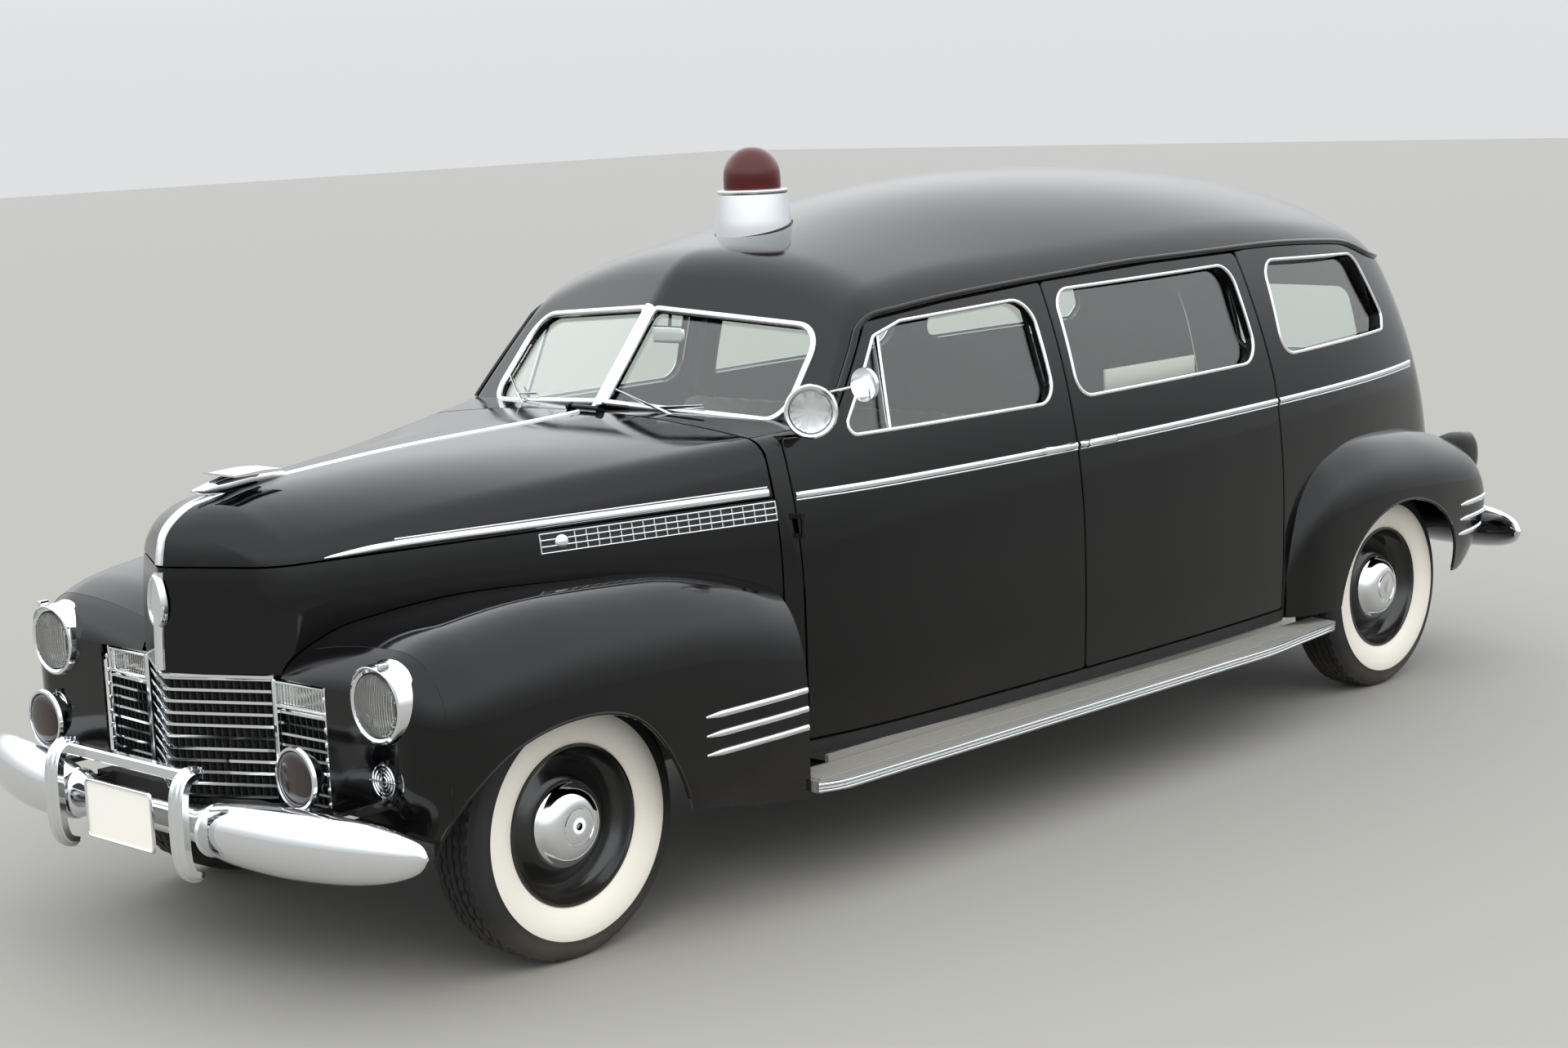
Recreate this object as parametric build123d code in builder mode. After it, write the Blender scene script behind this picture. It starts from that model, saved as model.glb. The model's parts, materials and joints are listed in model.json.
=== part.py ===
from build123d import *
import math
import os

# A long-wheelbase ambulance car of the early 1940s, in millimetres.
# The front faces -Y, the car's left side is +X, up is +Z, and the ground is Z = 0.
# The origin is on the ground, midway between the axles.

os.makedirs("parts", exist_ok=True)

# Running gear
wheelbase = 4140
front_axle_y = -wheelbase / 2
rear_axle_y = wheelbase / 2
tyre_radius = 380
tyre_half_width = 102
rim_radius = 205
whitewall_outer = 318
wheel_centre_x = 762
hub_bore_radius = 26
spindle_clearance = 0.1
spindle_radius = hub_bore_radius - spindle_clearance
kingpin_x = 650
kingpin_low_z = 262
kingpin_high_z = 500
kingpin_radius = 17
hub_cap_radius = 122

# Frame and floor
rail_inner_x = 400
rail_width = 60
rail_bottom_z = 360
rail_depth = 130
rail_top_z = rail_bottom_z + rail_depth
kick_up = 120
floor_thickness = 20
rear_floor_z = rail_top_z + kick_up
frame_front_y = -2740
frame_rear_y = 2760

# Body skin: each row is one closed cross-section
wall = 45
seam = 6
sill_gap = 5
body_z_low = 385
windscreen_thickness = 34
# y, half width at the sill, widest half width and its height, half width and height of the
# drip line, height of the roof crown, radius of the roof corner, height of the sill, set-back inside
BODY_ROWS = [
    (-1420, 775, 785, 850, 640, 1490, 1560, 90, 385, 0),
    (-900, 873, 886, 850, 712, 1620, 1700, 110, 385, 0),
    (-500, 898, 912, 850, 742, 1668, 1868, 170, 385, 0),
    (100, 912, 928, 850, 757, 1703, 1992, 200, 385, 0),
    (800, 914, 930, 850, 760, 1722, 2030, 200, 385, 0),
    (1450, 886, 904, 850, 744, 1712, 1998, 200, 385, 0),
    (2000, 830, 850, 840, 694, 1668, 1922, 190, 390, 0),
    (2400, 757, 777, 820, 612, 1585, 1806, 170, 405, 5),
    (2650, 665, 685, 800, 530, 1400, 1640, 150, 420, 15),
    (2800, 545, 562, 740, 440, 1130, 1330, 130, 440, 30),
    (2880, 425, 440, 680, 350, 900, 1024, 100, 460, 40),
    (2915, 325, 340, 640, 280, 800, 878, 70, 475, 45),
]
ROW_NAMES = ["y", "sill", "wide", "z_wide", "drip", "z_drip", "z_roof", "corner", "z_low", "set_back"]

# Nose and bonnet skin, ahead of the windscreen
NOSE_ROWS = [
    (-2830, 254, 262, 1000, 244, 1130, 1225, 62, 840, 0),
    (-2680, 306, 314, 1000, 294, 1150, 1283, 75, 840, 0),
    (-2400, 398, 407, 1000, 384, 1172, 1326, 90, 840, 0),
    (-1900, 572, 582, 980, 553, 1205, 1358, 105, 840, 0),
    (-1195, 822, 832, 900, 786, 1270, 1382, 90, 840, 0),
    (-900, 925, 935, 900, 880, 1310, 1405, 80, 840, 0),
]
nose_wall = 16
nose_front_y = -2794
nose_shoulder_y = -2705
nose_shoulder_x = 300
nose_shoulder_radius = 70
bonnet_rear_y = -1195
trim_line_front = (-2800, 1128)
trim_line_rear = (-1150, 1166)

# Lamps and grille
head_lamp_x = 756
head_lamp_z = 825
head_lamp_radius = 103
wing_lamp_x = 760
wing_lamp_z = 622
wing_lamp_radius = 62
fog_lamp_x = 620
fog_lamp_y = -2800
fog_lamp_z = 640
fog_lamp_radius = 76
grille_half_width = 521
grille_top_z = 822
grille_bottom_z = 492

# Doors and windows, in side view
front_door_y = -1130
door_seam_y = 125
rear_door_edge_y = 1300
door_bottom_z = 430
glass_thickness = 6
glass_inset = 20
# y, z of the top of the doors, which is the drip line
DRIP_LINE = [(-690, 1645), (-350, 1676), (125, 1699), (720, 1717), (1300, 1717), (2000, 1686), (2400, 1600),
             (2620, 1585), (3000, 1585)]
FRONT_DOOR = [(-1130, 430), (122, 430), (122, 1693), (-350, 1668), (-700, 1637), (-958, 1332), (-1130, 1332)]
CENTRE_DOOR = [(128, 430), (1300, 430), (1300, 1250), (1235, 1709), (720, 1709), (131, 1693)]
FRONT_WINDOW = [(-915, 1314), (48, 1314), (42, 1650), (-560, 1628), (-688, 1592)]
CENTRE_WINDOW = [(168, 1316), (1215, 1328), (1172, 1672), (172, 1662)]
QUARTER_WINDOW = [(1385, 1332), (2215, 1345), (2245, 1400), (2120, 1640), (1392, 1668)]
window_corner = 45
tail_door_half_width = 500
tail_door_low_z = 640
tail_door_high_z = 1580
tail_window_half_width = 300
tail_window_low_z = 1180
tail_window_high_z = 1470

# Hinges
hinge_pin_radius = 7
hinge_pin_clearance = 0.1
hinge_barrel_radius = 13
hinge_pocket = 5
hinge_barrel_length = 44
hinge_leaf_length = 14
hinge_leaf_gap = 0.4
front_hinge_x = 857
centre_hinge_x = 915
tail_hinge_y = 2851
bonnet_hinge_z = 1392
bonnet_hinge_length = 120
DOOR_HINGE_Z = [560, 1080]
TAIL_HINGE_Z = [760, 960]
handle_z = 1170
handle_reach = 34
handle_length = 112

# Wheel arches
arch_radius = 430

# Front windscreen planes: a point on the centre bar's foot and the plane's outward normal
screen_foot = (0, -1143, 1385)
screen_normal = (0.182, -0.747, 0.640)


def drip_lean(value):
    """Angle from upright of the side's arc where it meets the roof corner."""
    return 2 * math.atan2(value["wide"] - value["drip"], value["z_drip"] - value["z_wide"])


def row_values(row, inset=0):
    """One named row of a skin table, as a parallel curve inside it by the inset."""
    value = dict(zip(ROW_NAMES, row))
    lean = drip_lean(value)
    value["sill"] -= inset
    value["wide"] -= inset
    value["drip"] -= inset * math.cos(lean)
    value["z_drip"] -= inset * math.sin(lean)
    value["z_roof"] -= inset
    value["corner"] -= inset
    value["y"] -= value["set_back"] if inset else 0
    return value


def crown_fit(value):
    """Radius of the roof crown and its junction with the corner arc, tangent to both."""
    lean = drip_lean(value)
    tangent = (-math.sin(lean), math.cos(lean))
    inward = (-math.cos(lean), -math.sin(lean))
    width = value["drip"]
    rise = value["z_drip"] - value["z_roof"]
    corner = value["corner"]
    spread = width * width + rise * rise + 2 * corner * (width * inward[0] + rise * inward[1])
    radius = -spread / (2 * (corner + rise + corner * inward[1]))
    corner_x = width + corner * inward[0]
    corner_z = value["z_drip"] + corner * inward[1]
    crown_z = value["z_roof"] - radius
    reach = math.hypot(corner_x, corner_z - crown_z)
    joint = (corner_x / reach * radius, crown_z + (corner_z - crown_z) / reach * radius)
    return tangent, joint


def skin_section(value, z_low):
    """A closed cross-section: sill line, two side arcs, corner arcs and one crown arc."""
    tangent, joint = crown_fit(value)
    wide = (value["wide"], value["z_wide"])
    drip = (value["drip"], value["z_drip"])
    with BuildSketch(Plane.XZ.offset(-value["y"]), mode=Mode.PRIVATE) as outline:
        with BuildLine():
            Line((0, z_low), (value["sill"], z_low))
            ThreePointArc((value["sill"], z_low), low_side_middle(value, z_low), wide)
            TangentArc(wide, drip, tangent=(0, 1))
            TangentArc(drip, joint, tangent=tangent)
            ThreePointArc(joint, (0, value["z_roof"]), (-joint[0], joint[1]))
            TangentArc((-wide[0], wide[1]), (-drip[0], drip[1]), tangent=(0, 1))
            TangentArc((-drip[0], drip[1]), (-joint[0], joint[1]), tangent=(-tangent[0], tangent[1]))
            ThreePointArc((-value["sill"], z_low), mirrored(low_side_middle(value, z_low)), (-wide[0], wide[1]))
            Line((-value["sill"], z_low), (0, z_low))
        make_face()
    return outline.sketch


def low_side_middle(value, z_low):
    """Middle of the lower side arc, which is upright at the widest point."""
    tuck = value["wide"] - value["sill"]
    return (value["wide"] - 0.25 * tuck, value["z_wide"] + 0.5 * (z_low - value["z_wide"]))


def mirrored(point):
    return (-point[0], point[1])


def skin(rows, inset=0, drop=0):
    """A solid lofted through the rows of a table."""
    sections = []
    for row in rows:
        value = row_values(row, inset)
        sections.append(skin_section(value, value["z_low"] - drop))
    with BuildPart(mode=Mode.PRIVATE) as block:
        loft(sections=sections)
    return block.part


def side_half_width(rows, y, z):
    """Half width of a skin at a place on its side, between two rows."""
    low, high = rows[0], rows[-1]
    for first, second in zip(rows, rows[1:]):
        if first[0] <= y <= second[0]:
            low, high = first, second
    share = (y - low[0]) / (high[0] - low[0])
    mixed = dict(zip(ROW_NAMES, [a + (b - a) * share for a, b in zip(low, high)]))
    offset = mixed["wide"] - mixed["drip"]
    height = mixed["z_drip"] - mixed["z_wide"]
    radius = (height * height + offset * offset) / (2 * offset)
    above = z - mixed["z_wide"]
    if above < 0:
        return mixed["wide"] - (mixed["wide"] - mixed["sill"]) * (above / (mixed["z_low"] - mixed["z_wide"])) ** 2
    return mixed["wide"] - radius + math.sqrt(radius * radius - above * above)


def side_prism(points, x_from, x_to, corner=0, grow=0):
    """A side-view outline carried across from one X to another."""
    with BuildPart(mode=Mode.PRIVATE) as block:
        with BuildSketch(Plane.YZ.offset(x_from)) as outline:
            with BuildLine():
                Polyline(*points, close=True)
            make_face()
            if corner:
                fillet(outline.vertices(), corner)
            if grow:
                offset(amount=grow, kind=Kind.INTERSECTION)
        extrude(amount=x_to - x_from)
    return block.part


def front_prism(points, y_from, y_to, corner=0, grow=0):
    """A front-view outline carried along Y."""
    with BuildPart(mode=Mode.PRIVATE) as block:
        with BuildSketch(Plane.XZ.offset(-y_from)) as outline:
            with BuildLine():
                Polyline(*points, close=True)
            make_face()
            if corner:
                fillet(outline.vertices(), corner)
            if grow:
                offset(amount=grow, kind=Kind.INTERSECTION)
        extrude(amount=-(y_to - y_from))
    return block.part


def block_between(low, high):
    """A box from its lowest corner to its highest."""
    size = [b - a for a, b in zip(low, high)]
    centre = [(a + b) / 2 for a, b in zip(low, high)]
    return Pos(*centre) * Box(*size)


def rod(start, direction, length, radius):
    """A round bar from a point along a direction."""
    with BuildPart(mode=Mode.PRIVATE) as bar:
        with BuildSketch(Plane(origin=start, z_dir=direction)):
            Circle(radius)
        extrude(amount=length)
    return bar.part


def rectangle(low, high):
    return [(low[0], low[1]), (high[0], low[1]), (high[0], high[1]), (low[0], high[1])]


def save(shape, name):
    with BuildPart() as piece:
        add(shape)
    piece.part.label = name
    export_step(piece.part, f"parts/{name}.step")



# Windscreen halves
screen_bar = 16
screen_foot_width = 665
screen_head_width = 640
screen_foot_rise = (14, -26)
screen_head_rise = (288, 238)
screen_corner = 38
side_limit = 1150


def screen_plane(side, depth=0):
    """The plane of one windscreen half, moved inwards by a depth."""
    normal = Vector(side * screen_normal[0], screen_normal[1], screen_normal[2]).normalized()
    return Plane(origin=Vector(*screen_foot) - normal * depth, x_dir=(-normal.Y, normal.X, 0), z_dir=normal)


def half_of_car(side):
    """A block that holds one side of the car's upper front."""
    if side > 0:
        return block_between((0, -2600, 900), (side_limit, 1200, 2600))
    return block_between((-side_limit, -2600, 900), (0, 1200, 2600))


def screen_slab(depth, thickness):
    """Both windscreen halves as slabs that meet at the car's centre plane."""
    halves = []
    for side in (1, -1):
        with BuildPart(mode=Mode.PRIVATE) as slab:
            with BuildSketch(screen_plane(side, depth)):
                Rectangle(3400, 3400)
            extrude(amount=-thickness)
        halves.append(slab.part & half_of_car(side))
    return halves[0] + halves[1]


def screen_outline(side, grow, depth, thickness):
    """The rounded outline of one windscreen half as a block of some thickness."""
    plane = screen_plane(side, 0)
    normal = plane.z_dir
    corners = [
        (screen_bar, screen_foot_rise[0]),
        (screen_foot_width, screen_foot_rise[1]),
        (screen_head_width, screen_head_rise[1]),
        (screen_bar, screen_head_rise[0]),
    ]
    points = []
    for across, rise in corners:
        x = side * across
        y = screen_foot[1] - (normal.X * x + normal.Z * rise) / normal.Y
        local = plane.to_local_coords(Vector(x, y, screen_foot[2] + rise))
        points.append((local.X, local.Y))
    with BuildPart(mode=Mode.PRIVATE) as block:
        with BuildSketch(screen_plane(side, depth)) as outline:
            with BuildLine():
                Polyline(*points, close=True)
            make_face()
            fillet(outline.vertices(), screen_corner)
            if grow:
                offset(amount=grow)
        extrude(amount=-thickness)
    return block.part


def hinge(plane, reach, length=hinge_barrel_length):
    """A barrel hinge: local x points to the moving side, local y into the wall, local z along the pin."""
    leaf_end = length / 2 + hinge_leaf_gap
    full_end = leaf_end + hinge_leaf_length
    with BuildPart(mode=Mode.PRIVATE) as moving:
        with BuildSketch(plane.offset(-length / 2)):
            with BuildLine():
                Polyline((0, 0), (hinge_barrel_radius, 0), (30, reach), (2, reach), close=True)
            make_face()
            Circle(hinge_barrel_radius)
            Circle(hinge_pin_radius + hinge_pin_clearance, mode=Mode.SUBTRACT)
        extrude(amount=length)
    with BuildPart(mode=Mode.PRIVATE) as fixed:
        for start in (-full_end, leaf_end):
            with BuildSketch(plane.offset(start)):
                with BuildLine():
                    Polyline((0, 0), (-hinge_barrel_radius, 0), (-30, reach), (-2, reach), close=True)
                make_face()
                Circle(hinge_barrel_radius)
            extrude(amount=hinge_leaf_length)
        with BuildSketch(plane.offset(-full_end)):
            Circle(hinge_pin_radius)
        extrude(amount=2 * full_end)
    with BuildPart(mode=Mode.PRIVATE) as pocket:
        with BuildSketch(plane.offset(-full_end - 2)):
            Circle(hinge_barrel_radius + hinge_pocket)
        extrude(amount=2 * full_end + 4)
    return moving.part, fixed.part, pocket.part


def hung(panel, frame_piece, hinges):
    """A panel and the piece that carries it, both with their halves of the hinges."""
    for moving, fixed, pocket in hinges:
        panel = (panel - pocket) + moving
        frame_piece = (frame_piece - pocket) + fixed
    return panel, frame_piece


front_hinge_y = front_door_y - seam / 2
centre_hinge_y = rear_door_edge_y + seam / 2
front_hinges = [hinge(Plane(origin=(front_hinge_x, front_hinge_y, z), x_dir=(0, 1, 0), z_dir=(0, 0, 1)), 40)
                for z in DOOR_HINGE_Z]
centre_hinges = [hinge(Plane(origin=(centre_hinge_x, centre_hinge_y, z), x_dir=(0, -1, 0), z_dir=(0, 0, -1)), 46)
                 for z in DOOR_HINGE_Z]
tail_hinges = [hinge(Plane(origin=(tail_door_half_width + seam / 2, tail_hinge_y, z), x_dir=(-1, 0, 0), z_dir=(0, 0, 1)), 55)
               for z in TAIL_HINGE_Z]
bonnet_hinges = [hinge(Plane(origin=(0, bonnet_rear_y - seam / 2, bonnet_hinge_z), x_dir=(0, -1, 0), z_dir=(1, 0, 0)), 24,
                       bonnet_hinge_length)]


def handle(y, direction):
    """A door handle on the left side: a short boss with a lever along the door."""
    skin_x = side_half_width(BODY_ROWS, y, handle_z)
    boss = rod((skin_x - 20, y, handle_z), (1, 0, 0), 20 + handle_reach, 10)
    return boss + rod((skin_x + handle_reach - 8, y - direction * 8, handle_z), (0, direction, 0), handle_length, 8)


# The body shell, hollow and open below
body_outer = skin(BODY_ROWS)
body_inner = skin(BODY_ROWS, inset=wall, drop=80)
shell = body_outer - body_inner
nose_deep = skin(NOSE_ROWS, drop=540)
nose_deep_inner = skin(NOSE_ROWS, inset=nose_wall, drop=600)

above_drip = side_prism([(-1400, 1590), (-700, 1645)] + DRIP_LINE[1:] + [(3000, 2300), (-1400, 2300)],
                        -side_limit, side_limit)
behind_frame = screen_slab(windscreen_thickness, 4500)
front_door_block = side_prism(FRONT_DOOR, -side_limit, side_limit)
front_door_hole = side_prism(FRONT_DOOR, -side_limit, side_limit, grow=seam)
centre_door_block = side_prism(CENTRE_DOOR, -side_limit, side_limit)
centre_door_hole = side_prism(CENTRE_DOOR, -side_limit, side_limit, grow=seam)
tail_door_points = rectangle((-tail_door_half_width, tail_door_low_z), (tail_door_half_width, tail_door_high_z))
tail_door_block = front_prism(tail_door_points, 2300, 3100, corner=60)
tail_door_hole = front_prism(tail_door_points, 2300, 3100, corner=60, grow=seam)

# Roof: from the windscreen header to the tail, above the drip line
roof_rear = block_between((-side_limit, -300, 1000), (side_limit, 3100, 2300))
roof_front = behind_frame & block_between((-side_limit, -1400, 1000), (side_limit, -300, 2300))
roof_zone = above_drip & (roof_rear + roof_front)
roof = (shell & roof_zone) - tail_door_hole
save(roof, "roof")

# Windscreen frame: the posts, header and centre bar round both glasses
frame_range = block_between((-side_limit, bonnet_rear_y, 1290), (side_limit, 0, 2000))
windscreen_frame = (screen_slab(0, windscreen_thickness) & body_outer & frame_range) - nose_deep - front_door_hole
for side in (1, -1):
    windscreen_frame = windscreen_frame - screen_outline(side, 0, -40, 120)
save(windscreen_frame, "windscreen_frame")

# Cowl: the bonnet's surface carried back to the windscreen foot, with the body side ahead of the doors
cowl_range = block_between((-side_limit, bonnet_rear_y, 300), (side_limit, -900, 1500))
cowl = ((body_outer & nose_deep & cowl_range) - (body_inner & nose_deep_inner)) - front_door_hole
cowl = cowl - (screen_slab(0, 1500) & block_between((-side_limit, -1400, 1250), (side_limit, 500, 2000)))
cowl = cowl - block_between((-side_limit, front_door_y - seam, 300), (side_limit, 0, 1300))

# The left half of the shell gives the side panels, and the right ones are their mirror images
half_shell = (shell & block_between((0, -1500, 300), (side_limit, 3100, 1900))) - above_drip


def save_pair(shape, name):
    """A left piece and its mirror image on the right."""
    save(shape, f"{name}_left")
    save(mirror(shape, about=Plane.YZ), f"{name}_right")


# Quarter panels: the body sides behind the doors, down to the sill and round the tail
quarter = half_shell & block_between((0, rear_door_edge_y - 100, 300), (side_limit, 3000, 1800))
quarter = quarter - side_prism([(1000, 300), (1306, 300), (1306, 1250), (1241, 1730), (1000, 1730)], 0, side_limit)
quarter = quarter - tail_door_hole
quarter = quarter - side_prism(QUARTER_WINDOW, 400, side_limit, corner=window_corner)
quarter = quarter - (Pos(800, rear_axle_y, tyre_radius) * Rot(0, 90, 0) * Cylinder(arch_radius, 700))

# Side doors, as thick as the body's wall
front_door = (half_shell & front_door_block) - side_prism(FRONT_WINDOW, 400, side_limit, corner=30)
centre_door = (half_shell & centre_door_block) - side_prism(CENTRE_WINDOW, 400, side_limit, corner=window_corner)
front_door = front_door + handle(door_seam_y - 25, -1)
centre_door = centre_door + handle(door_seam_y + 25, 1)
front_door, cowl = hung(front_door, cowl, front_hinges)
cowl = cowl & block_between((0, -3000, 0), (1500, 3000, 2000))
cowl = cowl + mirror(cowl, about=Plane.YZ)
centre_door, quarter = hung(centre_door, quarter, centre_hinges)
save_pair(front_door, "door_front")
save_pair(centre_door, "door_centre")

# Tail door
tail_window_points = rectangle((-tail_window_half_width, tail_window_low_z),
                               (tail_window_half_width, tail_window_high_z))
tail_door = (shell & tail_door_block) - front_prism(tail_window_points, 2300, 3100, corner=50)
save(mirror(quarter, about=Plane.YZ), "quarter_right")
tail_door, quarter = hung(tail_door, quarter, tail_hinges)
save(tail_door, "tail_door")
save(quarter, "quarter_left")

# Nose and bonnet, split along the side trim line; the front is a raked prow, a shallow V in plan
nose_plan = [(0, nose_front_y), (nose_shoulder_x, nose_shoulder_y), (side_limit, nose_shoulder_y + 200),
             (side_limit, bonnet_rear_y), (-side_limit, bonnet_rear_y), (-side_limit, nose_shoulder_y + 200),
             (-nose_shoulder_x, nose_shoulder_y)]
with BuildPart(mode=Mode.PRIVATE) as nose_range:
    with BuildSketch(Plane.XY.offset(700)) as nose_outline:
        with BuildLine():
            Polyline(*nose_plan, close=True)
        make_face()
        fillet(nose_outline.vertices().filter_by(lambda v: abs(abs(v.X) - nose_shoulder_x) < 1), nose_shoulder_radius)
    extrude(amount=900)
prow_profile = [(nose_front_y - 60, 700), (nose_front_y, 843), (-2777, 1118), (-2757, 1215), (-2722, 1262), (-2660, 1400),
                (-1000, 1600), (-1000, 700)]
prow_block = side_prism(prow_profile, -side_limit, side_limit)
nose_outer = skin(NOSE_ROWS) & nose_range.part & prow_block
with BuildPart(mode=Mode.PRIVATE) as nose_hollow_range:
    with BuildSketch(Plane.XY.offset(700)):
        with BuildLine():
            Polyline(*[(x, y + 1.5 * nose_wall) for x, y in nose_plan], close=True)
        make_face()
    extrude(amount=900)
nose_hollow = skin(NOSE_ROWS, inset=nose_wall, drop=100) & nose_hollow_range.part
nose_hollow = nose_hollow & side_prism([(y + 1.2 * nose_wall, z) for y, z in prow_profile[:5]]
                                       + [(-2600, 1400), (-500, 1600), (-500, 600), (-2800, 600)],
                                       -side_limit, side_limit)
nose_shell = nose_outer - nose_hollow


def trim_z(y):
    """Height of the side trim line."""
    share = (y - trim_line_front[0]) / (trim_line_rear[0] - trim_line_front[0])
    return trim_line_front[1] + share * (trim_line_rear[1] - trim_line_front[1])


above_trim = side_prism([(-3000, trim_z(-3000) + seam), (-1000, trim_z(-1000) + seam), (-1000, 1700), (-3000, 1700)],
                        -side_limit, side_limit)
below_trim = side_prism([(-3000, trim_z(-3000)), (-1000, trim_z(-1000)), (-1000, 600), (-3000, 600)],
                        -side_limit, side_limit)
bonnet = (nose_shell & above_trim) - block_between((-side_limit, bonnet_rear_y - seam, 600), (side_limit, 0, 1700))
nose = nose_shell & below_trim
bonnet, cowl = hung(bonnet, cowl, bonnet_hinges)
save(bonnet, "bonnet")
save(nose, "nose")
save(cowl, "cowl")

# Front wings: each row is a cross-section of the left wing
# y, inner x, inner height, crown x and height, outer x and height, lower x, bottom height
WING_ROWS = [
    (-2676, 262, 846, 745, 878, 862, 740, 850, 540),
    (-2655, 268, 852, 750, 905, 905, 735, 895, 505),
    (-2600, 290, 880, 757, 942, 948, 722, 932, 470),
    (-2450, 340, 950, 770, 995, 985, 705, 968, 440),
    (-2100, 440, 990, 790, 1030, 998, 700, 985, 420),
    (-1750, 560, 976, 800, 1022, 1000, 690, 990, 380),
    (-1450, 660, 938, 810, 975, 1000, 650, 992, 330),
    (-1285, 720, 884, 815, 925, 996, 600, 992, 310),
]
WING_NAMES = ["y", "inner", "z_inner", "crown", "z_crown", "outer", "z_outer", "low", "z_low"]
wing_wall = 10


def wing_section(row, inset, drop):
    """Closed cross-section of a wing: inner side, rising top, crown arc, outer side and open foot."""
    value = dict(zip(WING_NAMES, row))
    inner = value["inner"] + inset
    foot = value["z_low"] - drop
    with BuildSketch(Plane.XZ.offset(-value["y"]), mode=Mode.PRIVATE) as outline:
        with BuildLine():
            Line((inner, foot), (inner, value["z_inner"] - inset))
            top = TangentArc((value["crown"], value["z_crown"] - inset), (inner, value["z_inner"] - inset),
                             tangent=(-1, 0))
            middle = (value["crown"] + 0.76 * (value["outer"] - inset - value["crown"]),
                      value["z_outer"] + 0.72 * (value["z_crown"] - inset - value["z_outer"]))
            ThreePointArc((value["crown"], value["z_crown"] - inset), middle, (value["outer"] - inset, value["z_outer"]))
            Line((value["outer"] - inset, value["z_outer"]), (value["low"] - inset, foot))
            Line((value["low"] - inset, foot), (inner, foot))
        make_face()
    return outline.sketch


def wing_skin(rows, inset=0, drop=0, shorten=0, widen=0, ruled=False):
    """A wing solid lofted through its rows."""
    sections = []
    for index, row in enumerate(rows):
        moved = list(row)
        moved[1] -= widen
        if index == 0:
            moved[0] += shorten
        if index == len(rows) - 1:
            moved[0] -= shorten
        sections.append(wing_section(moved, inset, drop))
    with BuildPart(mode=Mode.PRIVATE) as block:
        loft(sections=sections, ruled=ruled)
    return block.part


def arch_cut(points, x_from, corner):
    """The wheel arch as a side-view outline through a wing's outer side."""
    return side_prism(points, x_from, side_limit, corner=corner)


wing_welt = 4
front_arch = [(-2560, 200), (-2640, 400), (-2560, 545), (-2400, 680), (-2180, 722), (-1960, 680), (-1822, 520),
              (-1742, 340), (-1742, 200)]
# The apron inside the wing, in plan
apron_plan = [(540, -2570), (470, -2440), (470, -1640), (640, -1340), (640, -1310)]
apron_plan = apron_plan + [(x - 8, y) for x, y in reversed(apron_plan)]
wing_solid = wing_skin(WING_ROWS, ruled=True)
with BuildPart(mode=Mode.PRIVATE) as apron:
    with BuildSketch(Plane.XY.offset(rail_top_z + 12)):
        with BuildLine():
            Polyline(*apron_plan, close=True)
        make_face()
    extrude(amount=520)
wing = wing_solid - wing_skin(WING_ROWS, inset=wing_wall, drop=60, shorten=wing_wall, widen=60, ruled=True)
wing = wing + (apron.part & wing_solid)
wing = wing - arch_cut(front_arch, 780, 60)
# The nose's side in plan, with the welt's width between it and the wing
nose_side = [(max(side_half_width(NOSE_ROWS, y, z) for z in (850, 950, 1040)) + wing_welt, y)
             for y in (-2820, -2680, -2400, -1900, -1195)]
with BuildPart(mode=Mode.PRIVATE) as nose_keep_out:
    with BuildSketch(Plane.XY.offset(800)):
        with BuildLine():
            Polyline((0, -2820), *nose_side, (0, -1195), close=True)
        make_face()
    extrude(amount=400)
wing = wing - nose_keep_out.part
wing = wing - block_between((0, -2800, 100), (grille_half_width + 12, -2575, grille_top_z + 14))
wing = wing - block_between((0, -2800, 100), (rail_inner_x + rail_width + 10, -2200, rail_top_z + 12))
wing = wing - block_between((0, front_axle_y - 165, 100), (kingpin_x + 45, front_axle_y + 165, kingpin_high_z + 45))
for lamp_x, lamp_z, lamp_radius in ((head_lamp_x, head_lamp_z, head_lamp_radius),
                                    (wing_lamp_x, wing_lamp_z, wing_lamp_radius)):
    wing = wing - rod((lamp_x, -2800, lamp_z), (0, 1, 0), 260, lamp_radius)
save_pair(wing, "front_wing")

REAR_WING_ROWS = [
    (1322, 700, 600, 800, 640, 905, 500, 900, 392),
    (1400, 700, 780, 800, 830, 960, 640, 950, 392),
    (1560, 690, 900, 790, 950, 988, 700, 980, 396),
    (1850, 640, 950, 770, 998, 1000, 720, 985, 400),
    (2200, 560, 900, 730, 950, 990, 690, 975, 405),
    (2480, 500, 790, 680, 840, 960, 640, 950, 415),
    (2640, 470, 660, 640, 705, 890, 590, 885, 500),
]
rear_arch = [(1640, 200), (1660, 420), (1730, 600), (1880, 735), (2090, 772), (2290, 720), (2405, 600), (2440, 440),
             (2440, 200)]
rear_wing = wing_skin(REAR_WING_ROWS) - wing_skin(REAR_WING_ROWS, inset=wing_wall, drop=60, shorten=wing_wall)
rear_wing = rear_wing - arch_cut(rear_arch, 500, 60) - body_outer - quarter
for moving, fixed, pocket in centre_hinges:
    rear_wing = rear_wing - pocket
save_pair(rear_wing, "rear_wing")


def wheel_plane(side, y):
    """A plane through a wheel's axis: local x points outwards, local y is the radius."""
    return Plane(origin=(side * wheel_centre_x, y, tyre_radius), x_dir=(side, 0, 0), z_dir=(0, -side, 0))


def revolved(plane, outlines):
    """One or more closed outlines turned about the plane's own x axis."""
    with BuildPart(mode=Mode.PRIVATE) as turned:
        with BuildSketch(plane):
            for outline in outlines:
                with BuildLine():
                    outline()
                make_face()
        revolve(axis=Axis(plane.origin, plane.x_dir))
    return turned.part


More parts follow.
